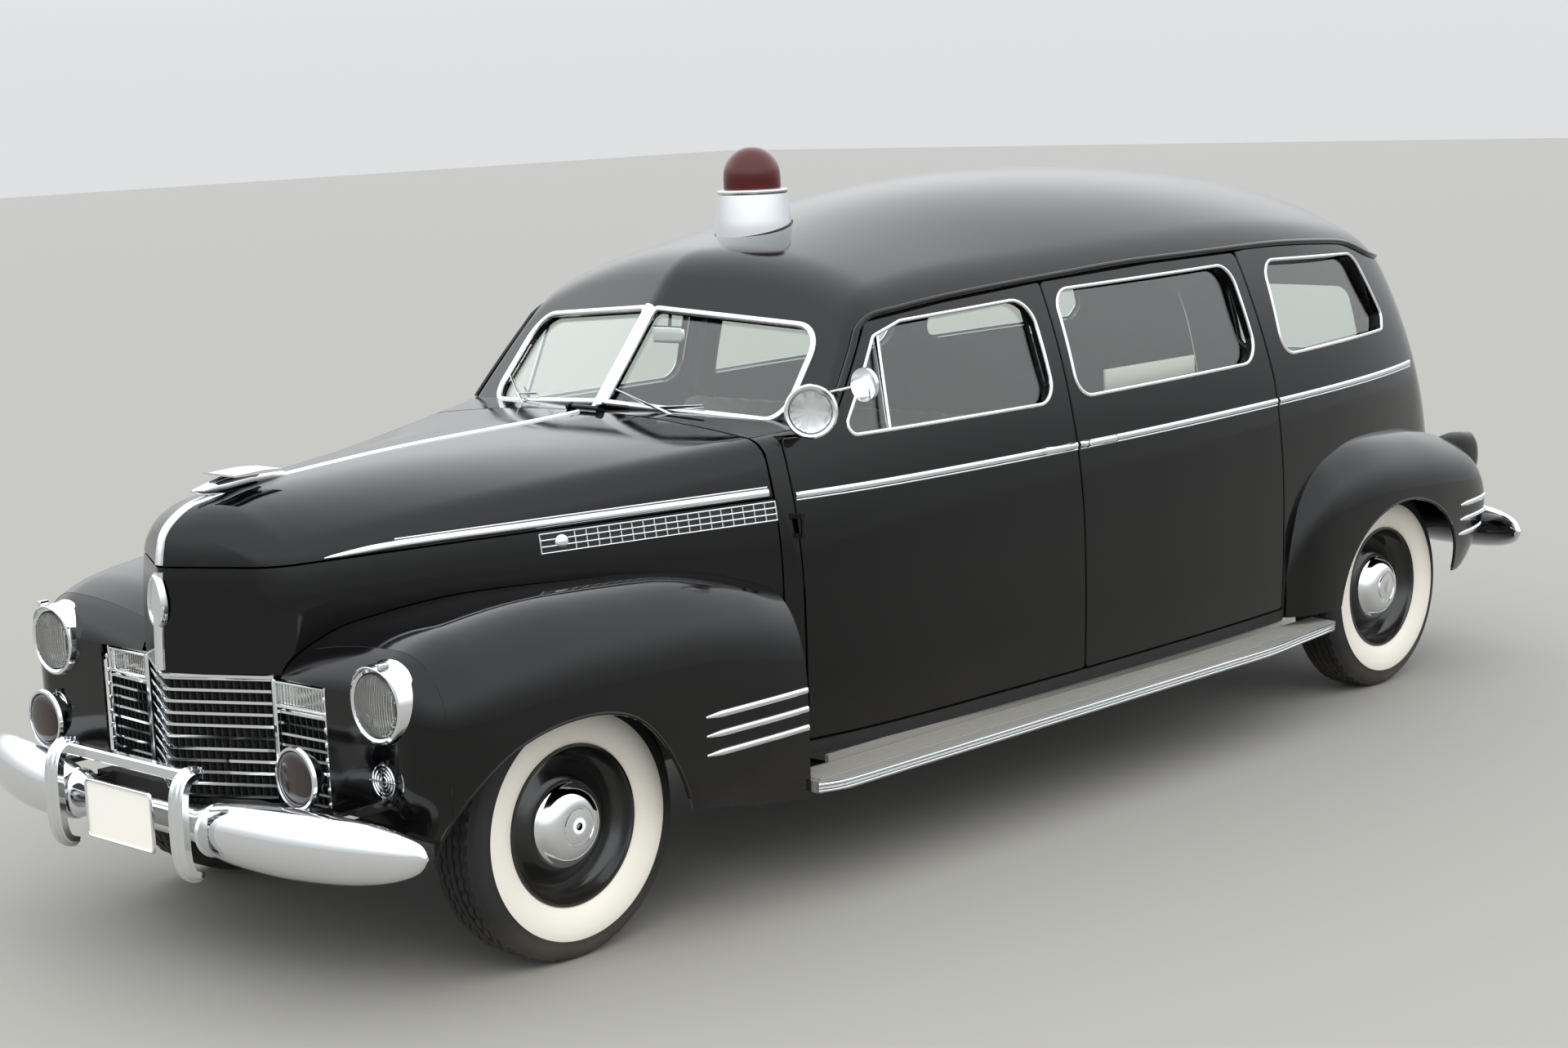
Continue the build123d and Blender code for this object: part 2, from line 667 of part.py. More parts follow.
tyre_inner_radius = 206
tread_half_width = 68
tread_edge_radius = 370
widest_radius = 292


def tyre_outline():
    half = tyre_half_width
    Polyline((-62, 224), (-62, tyre_inner_radius), (62, tyre_inner_radius), (62, 224))
    ThreePointArc((62, 224), (86, 245), (half, widest_radius))
    ThreePointArc((half, widest_radius), (96, 338), (tread_half_width, tread_edge_radius))
    ThreePointArc((tread_half_width, tread_edge_radius), (0, tyre_radius), (-tread_half_width, tread_edge_radius))
    ThreePointArc((-tread_half_width, tread_edge_radius), (-96, 338), (-half, widest_radius))
    ThreePointArc((-half, widest_radius), (-86, 245), (-62, 224))


def rim_outline():
    Polyline((-68, 196), (68, 196), (68, 222), (62.3, 222), (62.3, 206), (-62.3, 206), (-62.3, 222), (-68, 222),
             close=True)


def disc_outline():
    Polyline((6, 40), (18, 40), (40, 112), (38, 150), (16, 198), (4, 198), (28, 148), (30, 112), close=True)


def hub_outline():
    Polyline((-44, hub_bore_radius), (46, hub_bore_radius), (46, 52), (-44, 52), close=True)


def drum_outline():
    Polyline((-46, 142), (-46, 152), (0, 152), (0, 48), (-8, 48), (-8, 142), close=True)


def cap_outline():
    ThreePointArc((38, hub_cap_radius), (60, 90), (70, 48))
    Polyline((70, 48), (77, 45), (82, 0), (74, 0), (70, 40), (63, 42))
    ThreePointArc((63, 42), (53, 86), (32, 114))
    Line((32, 114), (38, hub_cap_radius))


WHEELS = [("front_left", 1, front_axle_y), ("front_right", -1, front_axle_y),
          ("rear_left", 1, rear_axle_y), ("rear_right", -1, rear_axle_y)]
for name, side, y in WHEELS:
    plane = wheel_plane(side, y)
    save(revolved(plane, [tyre_outline]), f"tyre_{name}")
    save(revolved(plane, [rim_outline, disc_outline, hub_outline, drum_outline, cap_outline]), f"wheel_{name}")

# Steering knuckles: brake backing plate, spindle, kingpin carrier and steering arm
plate_inner = -58
plate_thickness = 6
plate_radius = 138


def plate_outline():
    Polyline((plate_inner, 0), (plate_inner + plate_thickness, 0), (plate_inner + plate_thickness, plate_radius),
             (plate_inner, plate_radius), close=True)


def spindle_outline():
    Polyline((plate_inner, 0), (40, 0), (40, spindle_radius), (plate_inner, spindle_radius), close=True)


for name, side in (("left", 1), ("right", -1)):
    knuckle = revolved(wheel_plane(side, front_axle_y), [plate_outline, spindle_outline])
    carrier_x = sorted((side * (kingpin_x - 10), side * (wheel_centre_x + plate_inner + 2)))
    knuckle = knuckle + block_between((carrier_x[0], front_axle_y - 32, tyre_radius - 60),
                                      (carrier_x[1], front_axle_y + 32, tyre_radius + 60))
    knuckle = knuckle + rod((side * kingpin_x, front_axle_y, kingpin_low_z), (0, 0, 1),
                            kingpin_high_z - kingpin_low_z, kingpin_radius)
    arm_x = sorted((side * (kingpin_x - 14), side * (kingpin_x + 14)))
    knuckle = knuckle + block_between((arm_x[0], front_axle_y, 320), (arm_x[1], front_axle_y + 150, 338))
    save(knuckle, f"knuckle_{name}")

# Chassis frame: two rails with a kick-up over the rear axle, cross members, outriggers and jack pads
rail_profile = [(frame_front_y, rail_bottom_z), (1480, rail_bottom_z), (1640, rail_bottom_z + kick_up),
                (2520, rail_bottom_z + kick_up), (2640, rail_bottom_z + kick_up - 20), (frame_rear_y, rail_bottom_z + 60),
                (frame_rear_y, rear_floor_z - 40), (2600, rear_floor_z), (1560, rear_floor_z), (1400, rail_top_z),
                (frame_front_y, rail_top_z)]
frame = side_prism(rail_profile, rail_inner_x, rail_inner_x + rail_width)
frame = frame + side_prism(rail_profile, -rail_inner_x - rail_width, -rail_inner_x)
# y, low z, high z and length along Y of each cross member
CROSS_MEMBERS = [(-2700, 380, grille_bottom_z, 50), (-2590, 370, 420, 60), (-700, 440, 485, 70), (350, 440, 485, 70), (1250, 440, 485, 70),
                 (1660, 500, 600, 60), (2450, 500, 600, 50), (2740, 430, 560, 40)]
for y, low, high, length in CROSS_MEMBERS:
    frame = frame + block_between((-rail_inner_x - 10, y - length / 2, low), (rail_inner_x + 10, y + length / 2, high))
board_bottom_z = 325
board_top_z = 360
board_inner_x = 880
board_outer_x = 1050
OUTRIGGERS = [-1000, -300, 500, 1150]
for y in OUTRIGGERS:
    for side in (1, -1):
        across = sorted((side * rail_inner_x, side * (board_inner_x + 60)))
        frame = frame + block_between((across[0], y - 20, board_bottom_z - 20), (across[1], y + 20, board_bottom_z))
        drop = sorted((side * rail_inner_x, side * (rail_inner_x + rail_width)))
        frame = frame + block_between((drop[0], y - 20, board_bottom_z - 20), (drop[1], y + 20, rail_bottom_z + 5))
for y in (300, 800, 1250):
    frame = frame + block_between((-760, y - 25, rail_top_z - 10), (760, y + 25, rear_floor_z))
jack_pad_y = (-1450, 1350)
jack_pad_size = 90
jack_pad_height = 12
for y in jack_pad_y:
    for side in (1, -1):
        x = side * (rail_inner_x + rail_width / 2)
        frame = frame + block_between((x - 28, y - jack_pad_size / 2, rail_bottom_z - jack_pad_height),
                                      (x + 28, y + jack_pad_size / 2, rail_bottom_z + 2))
for side in (1, -1):
    x = side * (rail_inner_x + rail_width / 2)
    frame = frame + block_between((x - 20, -2862, 440), (x + 20, frame_front_y + 5, 480))
    frame = frame + block_between((x - 20, frame_rear_y - 5, 400), (x + 20, 2925, 436))
save(frame, "chassis_frame")

# Front suspension: cross member, wishbones and coil springs
suspension = block_between((-rail_inner_x - 30, front_axle_y - 60, 250), (rail_inner_x + 30, front_axle_y + 60, rail_bottom_z))
for side in (1, -1):
    for z, reach in ((kingpin_low_z - 22.4, 30), (kingpin_high_z + 0.4, 60)):
        inner_x = rail_inner_x + 10
        outline = [(side * inner_x, front_axle_y - 150), (side * (kingpin_x + 22), front_axle_y - 24),
                   (side * (kingpin_x + 22), front_axle_y + 24), (side * inner_x, front_axle_y + 150)]
        with BuildPart(mode=Mode.PRIVATE) as wishbone:
            with BuildSketch(Plane.XY.offset(z)):
                with BuildLine():
                    Polyline(*outline, close=True)
                make_face()
            extrude(amount=22)
        suspension = suspension + wishbone.part
    suspension = suspension + rod((side * 520, front_axle_y, kingpin_low_z - 10), (0, 0, 1),
                                  kingpin_high_z - kingpin_low_z + 12, 42)
suspension = suspension - frame
save(suspension, "front_suspension")

# Rear axle: casing, differential, backing plates, half shafts, leaf springs and the propeller shaft
axle = rod((-wheel_centre_x - plate_inner, rear_axle_y, tyre_radius), (1, 0, 0), 2 * (wheel_centre_x + plate_inner), 38)
axle = axle + (Pos(0, rear_axle_y, tyre_radius) * Sphere(140))
for side in (1, -1):
    axle = axle + revolved(wheel_plane(side, rear_axle_y), [plate_outline, spindle_outline])
spring_x = 520
spring_width = 56
spring_bottom = [(1500, 330), (1700, 316), (rear_axle_y, 300), (2440, 316), (2640, 330)]
spring_top = [(2640, 342), (2440, 346), (rear_axle_y, 346), (1700, 346), (1500, 342)]
for side in (1, -1):
    across = sorted((side * (spring_x - spring_width / 2), side * (spring_x + spring_width / 2)))
    axle = axle + side_prism(spring_bottom + spring_top, across[0], across[1])
    for y in (1510, 2630):
        hanger = sorted((side * (rail_inner_x + rail_width), side * (spring_x + spring_width / 2)))
        axle = axle + block_between((hanger[0], y - 25, 335), (hanger[1], y + 25, 400 if y < 2000 else 480))
axle = axle + rod((0, rear_axle_y - 120, tyre_radius), (0, -1, 0), 2700, 38)
axle = axle - frame
save(axle, "rear_axle")

# Engine and gearbox as one plain block, with the radiator ahead of it
engine_section = [(-200, 362), (200, 362), (290, 640), (250, 860), (120, 980), (-120, 980), (-250, 860), (-290, 640)]
engine = front_prism(engine_section, -2440, -1560)
engine = engine + front_prism([(-150, 340), (150, 340), (110, 478), (-110, 478)], -1570, rear_axle_y - 120 - 2700)
engine = engine + block_between((-130, -2560, 440), (130, -2430, 860))
engine = engine + block_between((-285, -2600, 420), (285, -2560, 1060))
engine = engine - suspension - frame
save(engine, "engine")

# Floor: low in front, raised over the kick-up behind, with wheel housings
floor_zone = skin(BODY_ROWS, inset=wall + seam + 1, drop=80)
step_y = 90
floor_front = floor_zone & block_between((-side_limit, bonnet_rear_y + 20, rail_top_z),
                                         (side_limit, step_y, rail_top_z + floor_thickness))
floor_step = floor_zone & block_between((-side_limit, step_y - floor_thickness, rail_top_z),
                                        (side_limit, step_y, rear_floor_z + floor_thickness))
floor_middle = floor_zone & block_between((-side_limit, step_y - floor_thickness, rear_floor_z),
                                          (side_limit, rear_door_edge_y + seam, rear_floor_z + floor_thickness))
floor_rear = body_inner & block_between((-side_limit, rear_door_edge_y + seam, rear_floor_z),
                                        (side_limit, 3000, rear_floor_z + floor_thickness))
floor = floor_front + floor_step + floor_middle + floor_rear
house_inner_x = 600
house_wall = 8
for side in (1, -1):
    across = sorted((side * house_inner_x, side * side_limit))
    arch = Pos(0.5 * (across[0] + across[1]), rear_axle_y, tyre_radius) * Rot(0, 90, 0)
    length = across[1] - across[0]
    hollow = Pos(side * house_wall, 0, 0) * (arch * Cylinder(arch_radius, length))
    house = (arch * Cylinder(arch_radius + house_wall, length)) & body_inner
    house = house & block_between((-side_limit, 1500, rear_floor_z), (side_limit, 2700, 1200))
    floor = (floor + house) - hollow
floor = floor - tail_door_hole
# Firewall between the engine bay and the cabin
firewall = (body_inner & nose_deep_inner) & block_between((-side_limit, bonnet_rear_y, rail_top_z),
                                                          (side_limit, bonnet_rear_y + 20, 1500))
# Sills below the doors, with the posts that the doors meet on
sill = body_outer & block_between((770, front_door_y - seam, 385), (side_limit, rear_door_edge_y + seam, door_bottom_z - seam))
sill = sill + (floor_zone & block_between((770, front_door_y - seam, 400), (side_limit, rear_door_edge_y + seam, rail_top_z)))
post_depth = 36
post_half = 40
post_levels = [rail_top_z - 10, 600, 720, 850, 980, 1100, 1200, 1300, 1400, 1500, 1600, 1690]
outer_edge = [(side_half_width(BODY_ROWS, door_seam_y, z) - wall - seam - 2, z) for z in post_levels]
inner_edge = [(x - post_depth, z) for x, z in reversed(outer_edge)]
sill = sill + front_prism(outer_edge + inner_edge, door_seam_y - post_half, door_seam_y + post_half)
body_frame = floor + firewall + sill + mirror(sill, about=Plane.YZ)
save(body_frame, "body_frame")

# Running boards
board_plan = [(board_inner_x, -1278), (board_outer_x - 30, -1278), (board_outer_x, -1180), (board_outer_x, 1000),
              (board_outer_x - 60, 1500), (board_inner_x, 1520)]
with BuildPart(mode=Mode.PRIVATE) as board:
    with BuildSketch(Plane.XY.offset(board_bottom_z)):
        with BuildLine():
            Polyline(*board_plan, close=True)
        make_face()
    extrude(amount=board_top_z - board_bottom_z)
board = board.part + block_between((board_inner_x, -1100, board_top_z - 5), (board_inner_x + 14, 1290, 385))
save_pair(board, "running_board")

# Grille: heavy bars in a shallow V with flat wings, over upright bars
grille_plan = [(-grille_half_width, -2628), (-296, -2640), (0, nose_front_y), (296, -2640), (grille_half_width, -2628)]
grille_bar_count = 10
grille_bar_height = 14
grille_bar_depth = 26
grille_pitch = (grille_top_z - grille_bottom_z - grille_bar_height) / (grille_bar_count - 1)


def grille_layer(z, height, front, back):
    """A band that follows the grille's plan, between two set-backs."""
    ahead = [(x, y + front) for x, y in grille_plan]
    behind = [(x, y + back) for x, y in reversed(grille_plan)]
    with BuildPart(mode=Mode.PRIVATE) as band:
        with BuildSketch(Plane.XY.offset(z)):
            with BuildLine():
                Polyline(*(ahead + behind), close=True)
            make_face()
        extrude(amount=height)
    return band.part


grille = grille_layer(grille_bottom_z, grille_bar_height, 0, grille_bar_depth)
for index in range(1, grille_bar_count):
    grille = grille + grille_layer(grille_bottom_z + index * grille_pitch, grille_bar_height, 0, grille_bar_depth)


def grille_y(x):
    """Place of the grille's front at a distance from the centre."""
    if abs(x) <= 296:
        return nose_front_y + (abs(x) / 296) * (-2640 - nose_front_y)
    return -2640 + (abs(x) - 296) / (grille_half_width - 296) * 12


for index in range(-8, 9):
    x = index * 62
    grille = grille + block_between((x - 4, grille_y(x) + 8, grille_bottom_z),
                                    (x + 4, grille_y(x) + grille_bar_depth + 4, grille_top_z))
save(grille, "grille")

# Bumpers: a round bar that swells into a torpedo at each end, with two upright guards
# x, y set-back, radius
FRONT_BUMPER = [(0, 0, 40), (250, 0, 42), (330, 4, 66), (560, 26, 76), (800, 78, 68), (930, 122, 46), (1010, 156, 12)]
REAR_BUMPER = [(0, 0, 32), (250, 0, 34), (330, 4, 42), (560, 26, 52), (800, 78, 48), (930, 122, 36), (1010, 156, 12)]
bumper_z = 470


def bumper(rows, sign, y):
    """A bumper whose bar is swept back towards the car at its ends."""
    sections = []
    stations = [(-x, back, radius) for x, back, radius in reversed(rows[1:])] + rows
    for x, back, radius in stations:
        with BuildSketch(Plane.YZ.offset(x), mode=Mode.PRIVATE) as ring:
            with Locations((y + sign * back, bumper_z)):
                Circle(radius)
        sections.append(ring.sketch)
    with BuildPart(mode=Mode.PRIVATE) as bar:
        loft(sections=sections)
    return bar.part


guard_x = 300
front_bumper_y = -2880
rear_bumper_y = 2964
front_guard = [(-2960, 350), (-2993, 400), (-3003, 560), (-2975, 618), (-2900, 632), (-2880, 600), (-2900, 520),
               (-2900, 420), (-2880, 345)]
rear_guard = [(2925, 370), (2990, 400), (3003, 430), (3003, 560), (2985, 600), (2950, 600), (2940, 520), (2925, 500)]
front_bumper = bumper(FRONT_BUMPER, 1, front_bumper_y)
rear_bumper = bumper(REAR_BUMPER, -1, rear_bumper_y)
for side in (1, -1):
    front_bumper = front_bumper + side_prism(front_guard, side * guard_x - 30, side * guard_x + 30)
    rear_bumper = rear_bumper + side_prism(rear_guard, side * guard_x - 28, side * guard_x + 28)
front_bumper = front_bumper + rod((-guard_x, -2915, 612), (1, 0, 0), 2 * guard_x, 14)
front_bumper = front_bumper - frame
rear_bumper = rear_bumper - frame
save(front_bumper, "front_bumper")
save(rear_bumper, "rear_bumper")

# Glass: flat panes that fill the openings


def pane(window, high, corner):
    """A flat pane of a side window, through two low corners and one high corner of its opening."""
    corners = [Vector(side_half_width(BODY_ROWS, y, z) - glass_inset, y, z) for y, z in (window[0], window[1], high)]
    across = corners[1] - corners[0]
    normal = across.cross(corners[2] - corners[0]).normalized()
    with BuildPart(mode=Mode.PRIVATE) as slab:
        with BuildSketch(Plane(origin=corners[0], x_dir=across, z_dir=normal)):
            Rectangle(4000, 4000)
        extrude(amount=-glass_thickness)
    return slab.part & side_prism(window, 400, side_limit, corner=corner)


save_pair(pane(FRONT_WINDOW, FRONT_WINDOW[2], 30), "glass_front")
save_pair(pane(CENTRE_WINDOW, CENTRE_WINDOW[2], window_corner), "glass_centre")
save_pair(pane(QUARTER_WINDOW, QUARTER_WINDOW[4], window_corner), "glass_quarter")
tail_glass_plane = [(2806, 1175), (2707, 1475)]
tail_slope = math.atan2(tail_glass_plane[0][0] - tail_glass_plane[1][0], tail_glass_plane[1][1] - tail_glass_plane[0][1])
tail_normal = (0, math.cos(tail_slope), math.sin(tail_slope))
with BuildPart(mode=Mode.PRIVATE) as tail_slab:
    with BuildSketch(Plane(origin=(0, *tail_glass_plane[0]), x_dir=(1, 0, 0), z_dir=tail_normal)):
        Rectangle(2000, 2000)
    extrude(amount=-glass_thickness)
save(tail_slab.part & front_prism(tail_window_points, 2300, 3100, corner=50), "glass_tail")
windscreen_glass = screen_outline(1, 0, 14, glass_thickness) + screen_outline(-1, 0, 14, glass_thickness)
save(windscreen_glass, "windscreen_glass")


def lamp_plane(x, y, z):
    """A plane through a lamp's axis: local x points forwards, local y is the radius."""
    return Plane(origin=(x, y, z), x_dir=(0, -1, 0), z_dir=(1, 0, 0))


wing_face_y = WING_ROWS[0][0]


def head_bucket_outline():
    r = head_lamp_radius
    Polyline((-60, 0), (-52, 50), (-14, r - 3), (0, r), (0, r + 5), (14, r + 4), (27, r - 5), (27, r - 14), (8, r - 14),
             (8, r - 22), (-16, r - 26), (-40, 50), (-48, 0), close=True)


def head_lens_outline():
    r = head_lamp_radius - 14.2
    Line((8, 0), (8, r))
    Line((8, r), (15, r))
    Spline((15, r), (27, r * 0.55), (32, 0), tangents=((0.5, -1), (0, -1)))
    Line((32, 0), (8, 0))


def wing_bucket_outline():
    r = wing_lamp_radius
    Polyline((-40, 0), (-36, 36), (-6, r - 3), (0, r), (0, r + 4), (10, r + 3), (16, r - 4), (16, r - 10), (4, r - 10),
             (4, r - 15), (-26, 30), (-32, 0), close=True)


def wing_lens_outline():
    r = wing_lamp_radius - 10.2
    Polyline((4, 0), (4, r), (9, r), (16, r * 0.6), (18, 0), close=True)


def fog_shell_outline():
    r = fog_lamp_radius
    Polyline((-62, 0), (-58, 26), (-40, 54), (-8, r - 3), (8, r), (16, r - 2), (16, r - 10), (4, r - 10), (4, r - 15), (-36, 44),
             (-52, 20), (-54, 0), close=True)


def fog_lens_outline():
    r = fog_lamp_radius - 10.2
    Polyline((4, 0), (4, r), (9, r), (17, r * 0.6), (20, 0), close=True)


head_lamps = []
lamp_glass = []
fog_lamps = []
fog_glass = []
for side in (1, -1):
    head_plane = lamp_plane(side * head_lamp_x, wing_face_y, head_lamp_z)
    wing_plane = lamp_plane(side * wing_lamp_x, wing_face_y, wing_lamp_z)
    fog_plane = lamp_plane(side * fog_lamp_x, fog_lamp_y, fog_lamp_z)
    head_lamps += [revolved(head_plane, [head_bucket_outline]), revolved(wing_plane, [wing_bucket_outline])]
    lamp_glass += [revolved(head_plane, [head_lens_outline]), revolved(wing_plane, [wing_lens_outline])]
    stem = rod((side * fog_lamp_x, fog_lamp_y, 500), (0, 0, 1), fog_lamp_z - fog_lamp_radius - 490, 12)
    fog_lamps.append((revolved(fog_plane, [fog_shell_outline]) + stem) - front_bumper)
    fog_glass.append(revolved(fog_plane, [fog_lens_outline]))
save(Part() + head_lamps, "head_lamps")
save(Part() + lamp_glass, "lamp_glass")
save(Part() + fog_lamps, "fog_lamps")
save(Part() + fog_glass, "fog_lamp_glass")

# Roof beacon
beacon_y = -410
beacon_z = 1893
beacon_foot_radius = 124
beacon_top_radius = 112
beacon_height = 130
dome_radius = 93
dome_height = 140


def beacon_base_outline():
    top = beacon_z + beacon_height
    Polyline((0, beacon_z - 40), (beacon_foot_radius, beacon_z - 40), (beacon_foot_radius, beacon_z + 12),
             (beacon_foot_radius - 5, beacon_z + 60), (beacon_top_radius, top - 12), (beacon_top_radius - 8, top), (0, top),
             close=True)


def beacon_dome_outline():
    foot = beacon_z + beacon_height
    Line((0, foot), (dome_radius, foot))
    Line((dome_radius, foot), (dome_radius, foot + 40))
    Spline((dome_radius, foot + 40), (0.74 * dome_radius, foot + 0.8 * dome_height), (0, foot + dome_height),
           tangents=((0, 1), (-1, 0)))
    Line((0, foot + dome_height), (0, foot))


def upright_turned(x, y, outline):
    """A closed outline in X and Z turned about an upright axis."""
    with BuildPart(mode=Mode.PRIVATE) as turned:
        with BuildSketch(Plane(origin=(x, y, 0), x_dir=(1, 0, 0), z_dir=(0, -1, 0))):
            with BuildLine():
                outline()
            make_face()
        revolve(axis=Axis((x, y, 0), (0, 0, 1)))
    return turned.part


save(upright_turned(0, beacon_y, beacon_base_outline) - body_outer, "beacon_base")
save(upright_turned(0, beacon_y, beacon_dome_outline), "beacon_dome")

# Spot lamp and mirror on the left windscreen post
spot_x = 850
spot_y = -1085
spot_z = 1407
spot_radius = 65


def spot_outline():
    r = spot_radius
    Polyline((-52, 0), (-48, 24), (-28, 50), (0, r - 2), (12, r), (20, r - 3), (20, r - 9), (26, 30), (28, 0), close=True)


post_target = (755, -925, 1400)
spot_aim = Vector(post_target[0] - spot_x, post_target[1] - spot_y, post_target[2] - spot_z)
spot_lamp = revolved(lamp_plane(spot_x, spot_y, spot_z), [spot_outline])
spot_lamp = spot_lamp + rod((spot_x, spot_y + 30, spot_z), (post_target[0] - spot_x, post_target[1] - spot_y - 30, -7),
                            spot_aim.length - 40, 9)
spot_lamp = (spot_lamp - windscreen_frame - front_door).solids().sort_by(SortBy.VOLUME)[-1]
save(spot_lamp, "spot_lamp")
mirror_centre = (950, -945, 1480)
mirror_arm = Vector(*mirror_centre) - Vector(752, -898, 1440)
door_mirror = rod((mirror_centre[0], mirror_centre[1] - 6, mirror_centre[2]), (0, 1, 0), 14, 50)
door_mirror = door_mirror + rod((752, -898, 1440), mirror_arm, mirror_arm.length, 6)
door_mirror = (door_mirror - windscreen_frame - front_door).solids().sort_by(SortBy.VOLUME)[-1]
save(door_mirror, "door_mirror")

# Dashboard, steering wheel and front seat
dash_profile = [(bonnet_rear_y + 20, 1290), (bonnet_rear_y + 20, 980), (-1090, 960), (-1040, 1000), (-1010, 1080), (-1015, 1180), (-1060, 1262)]
dashboard = side_prism(dash_profile, -side_limit, side_limit) & skin(BODY_ROWS, inset=wall + seam, drop=80)
dashboard = dashboard - cowl
save(dashboard, "dashboard")
wheel_hub = (380, -700, 1140)
column_foot = (380, bonnet_rear_y + 20, 820)
column = Vector(*column_foot) - Vector(*wheel_hub)
steering_rim_radius = 215
rim_plane = Plane(origin=wheel_hub, x_dir=(1, 0, 0), z_dir=(column.X, column.Y, column.Z))
with BuildPart(mode=Mode.PRIVATE) as steering:
    with BuildSketch(Plane(origin=wheel_hub, x_dir=(1, 0, 0), z_dir=rim_plane.y_dir)):
        with Locations((steering_rim_radius, 0)):
            Circle(11)
    revolve(axis=Axis(wheel_hub, rim_plane.z_dir))
    with BuildSketch(rim_plane.offset(-12)):
        Circle(34)
        Rectangle(2 * steering_rim_radius - 8, 20)
    extrude(amount=22)
    with BuildSketch(rim_plane):
        Circle(22)
    extrude(amount=column.length + 40)
steering_wheel = steering.part & block_between((-side_limit, bonnet_rear_y + 20, 300), (side_limit, 0, 2000))
save(steering_wheel - dashboard, "steering_wheel")
seat_half_width = 700
cushion_profile = [(-640, rail_top_z + floor_thickness), (-610, 720), (-640, 860), (-560, 905), (-200, 890),
                   (-140, rail_top_z + floor_thickness)]
back_profile = [(-230, 880), (-190, 1000), (-120, 1240), (-80, 1275), (-30, 1270), (0, 1240), (-20, 1000), (-60, 700),
                (-60, rail_top_z + floor_thickness), (-230, rail_top_z + floor_thickness)]
front_seat = side_prism(cushion_profile, -seat_half_width, seat_half_width)
front_seat = front_seat + side_prism(back_profile, -seat_half_width, seat_half_width)
save(front_seat, "front_seat")

# Exhaust under the frame, and the fuel tank behind the axle
exhaust_x = -245
exhaust_z = 306
exhaust_radius = 22
exhaust = rod((exhaust_x, -1650, exhaust_z), (0, 1, 0), 4580, exhaust_radius)
exhaust = exhaust + rod((exhaust_x, -1650, exhaust_z), (0, 0, 1), 180, exhaust_radius)
exhaust = exhaust + (Pos(exhaust_x, -1650, exhaust_z) * Sphere(exhaust_radius))
exhaust = exhaust + rod((exhaust_x, 150, exhaust_z), (0, 1, 0), 750, 68)
for y in (350, 1250):
    exhaust = exhaust + block_between((exhaust_x - 10, y - 10, exhaust_z), (exhaust_x + 10, y + 10, 440))
exhaust = exhaust + block_between((exhaust_x - 10, 2735, exhaust_z), (exhaust_x + 10, 2755, 430))
save(exhaust - engine - frame, "exhaust")
tank = block_between((-340, 2235, 345), (340, 2720, 500))
with BuildPart(mode=Mode.PRIVATE) as rounded_tank:
    add(tank)
    fillet(rounded_tank.edges().filter_by(Axis.X), 40)
save(rounded_tank.part - frame, "fuel_tank")

# Tail lamps: fins on top of the rear wings
lamp_profile = [(2420, 770), (2470, 868), (2560, 905), (2700, 890), (2790, 845), (2790, 790), (2640, 700), (2500, 740)]
tail_lamp = side_prism(lamp_profile, 822, 878) - wing_skin(REAR_WING_ROWS)
tail_lamps = tail_lamp + mirror(tail_lamp, about=Plane.YZ)
save(tail_lamps, "tail_lamps")
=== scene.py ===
import json
import math

import bmesh
import bpy
import numpy as np
from mathutils import Matrix, Vector
from mathutils.geometry import delaunay_2d_cdt


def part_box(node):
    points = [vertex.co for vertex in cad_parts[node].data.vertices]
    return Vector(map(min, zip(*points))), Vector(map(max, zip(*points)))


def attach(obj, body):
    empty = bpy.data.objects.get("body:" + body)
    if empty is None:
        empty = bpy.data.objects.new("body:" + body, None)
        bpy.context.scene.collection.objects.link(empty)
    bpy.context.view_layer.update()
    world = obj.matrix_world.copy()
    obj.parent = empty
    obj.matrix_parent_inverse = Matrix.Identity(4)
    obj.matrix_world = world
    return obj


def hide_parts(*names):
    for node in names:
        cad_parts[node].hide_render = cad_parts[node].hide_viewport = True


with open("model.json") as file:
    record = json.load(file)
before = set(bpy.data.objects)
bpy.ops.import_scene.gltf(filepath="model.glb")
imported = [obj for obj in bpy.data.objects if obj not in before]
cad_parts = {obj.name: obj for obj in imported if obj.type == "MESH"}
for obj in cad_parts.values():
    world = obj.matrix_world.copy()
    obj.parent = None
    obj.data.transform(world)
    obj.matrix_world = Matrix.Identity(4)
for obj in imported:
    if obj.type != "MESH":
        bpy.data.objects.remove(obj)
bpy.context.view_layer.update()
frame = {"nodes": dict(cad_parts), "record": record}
scene = bpy.context.scene

# Materials


def linear(value):
    """An sRGB hex colour as linear RGBA."""
    parts = [int(value[i:i + 2], 16) / 255 for i in (1, 3, 5)]
    return tuple(c / 12.92 if c <= 0.04045 else ((c + 0.055) / 1.055) ** 2.4 for c in parts) + (1.0,)


def add(tree, kind, links=(), **settings):
    """Adds a node, sets its inputs or properties, and links sockets into it."""
    node = tree.nodes.new(kind)
    for key, value in settings.items():
        if key in node.inputs:
            node.inputs[key].default_value = value
        else:
            setattr(node, key, value)
    for target, source in dict(links).items():
        tree.links.new(source, node.inputs[target])
    return node


def speckle(tree, scale, low, high, detail=4.0):
    """A noise value on Object coordinates, spread between two numbers."""
    place = add(tree, "ShaderNodeTexCoord")
    noise = add(tree, "ShaderNodeTexNoise", {"Vector": place.outputs["Object"]}, Scale=scale, Detail=detail)
    spread = add(tree, "ShaderNodeMapRange", {"Value": noise.outputs["Fac"]})
    for key, value in (("From Min", 0.3), ("From Max", 0.7), ("To Min", low), ("To Max", high)):
        spread.inputs[key].default_value = value
    return spread.outputs["Result"]


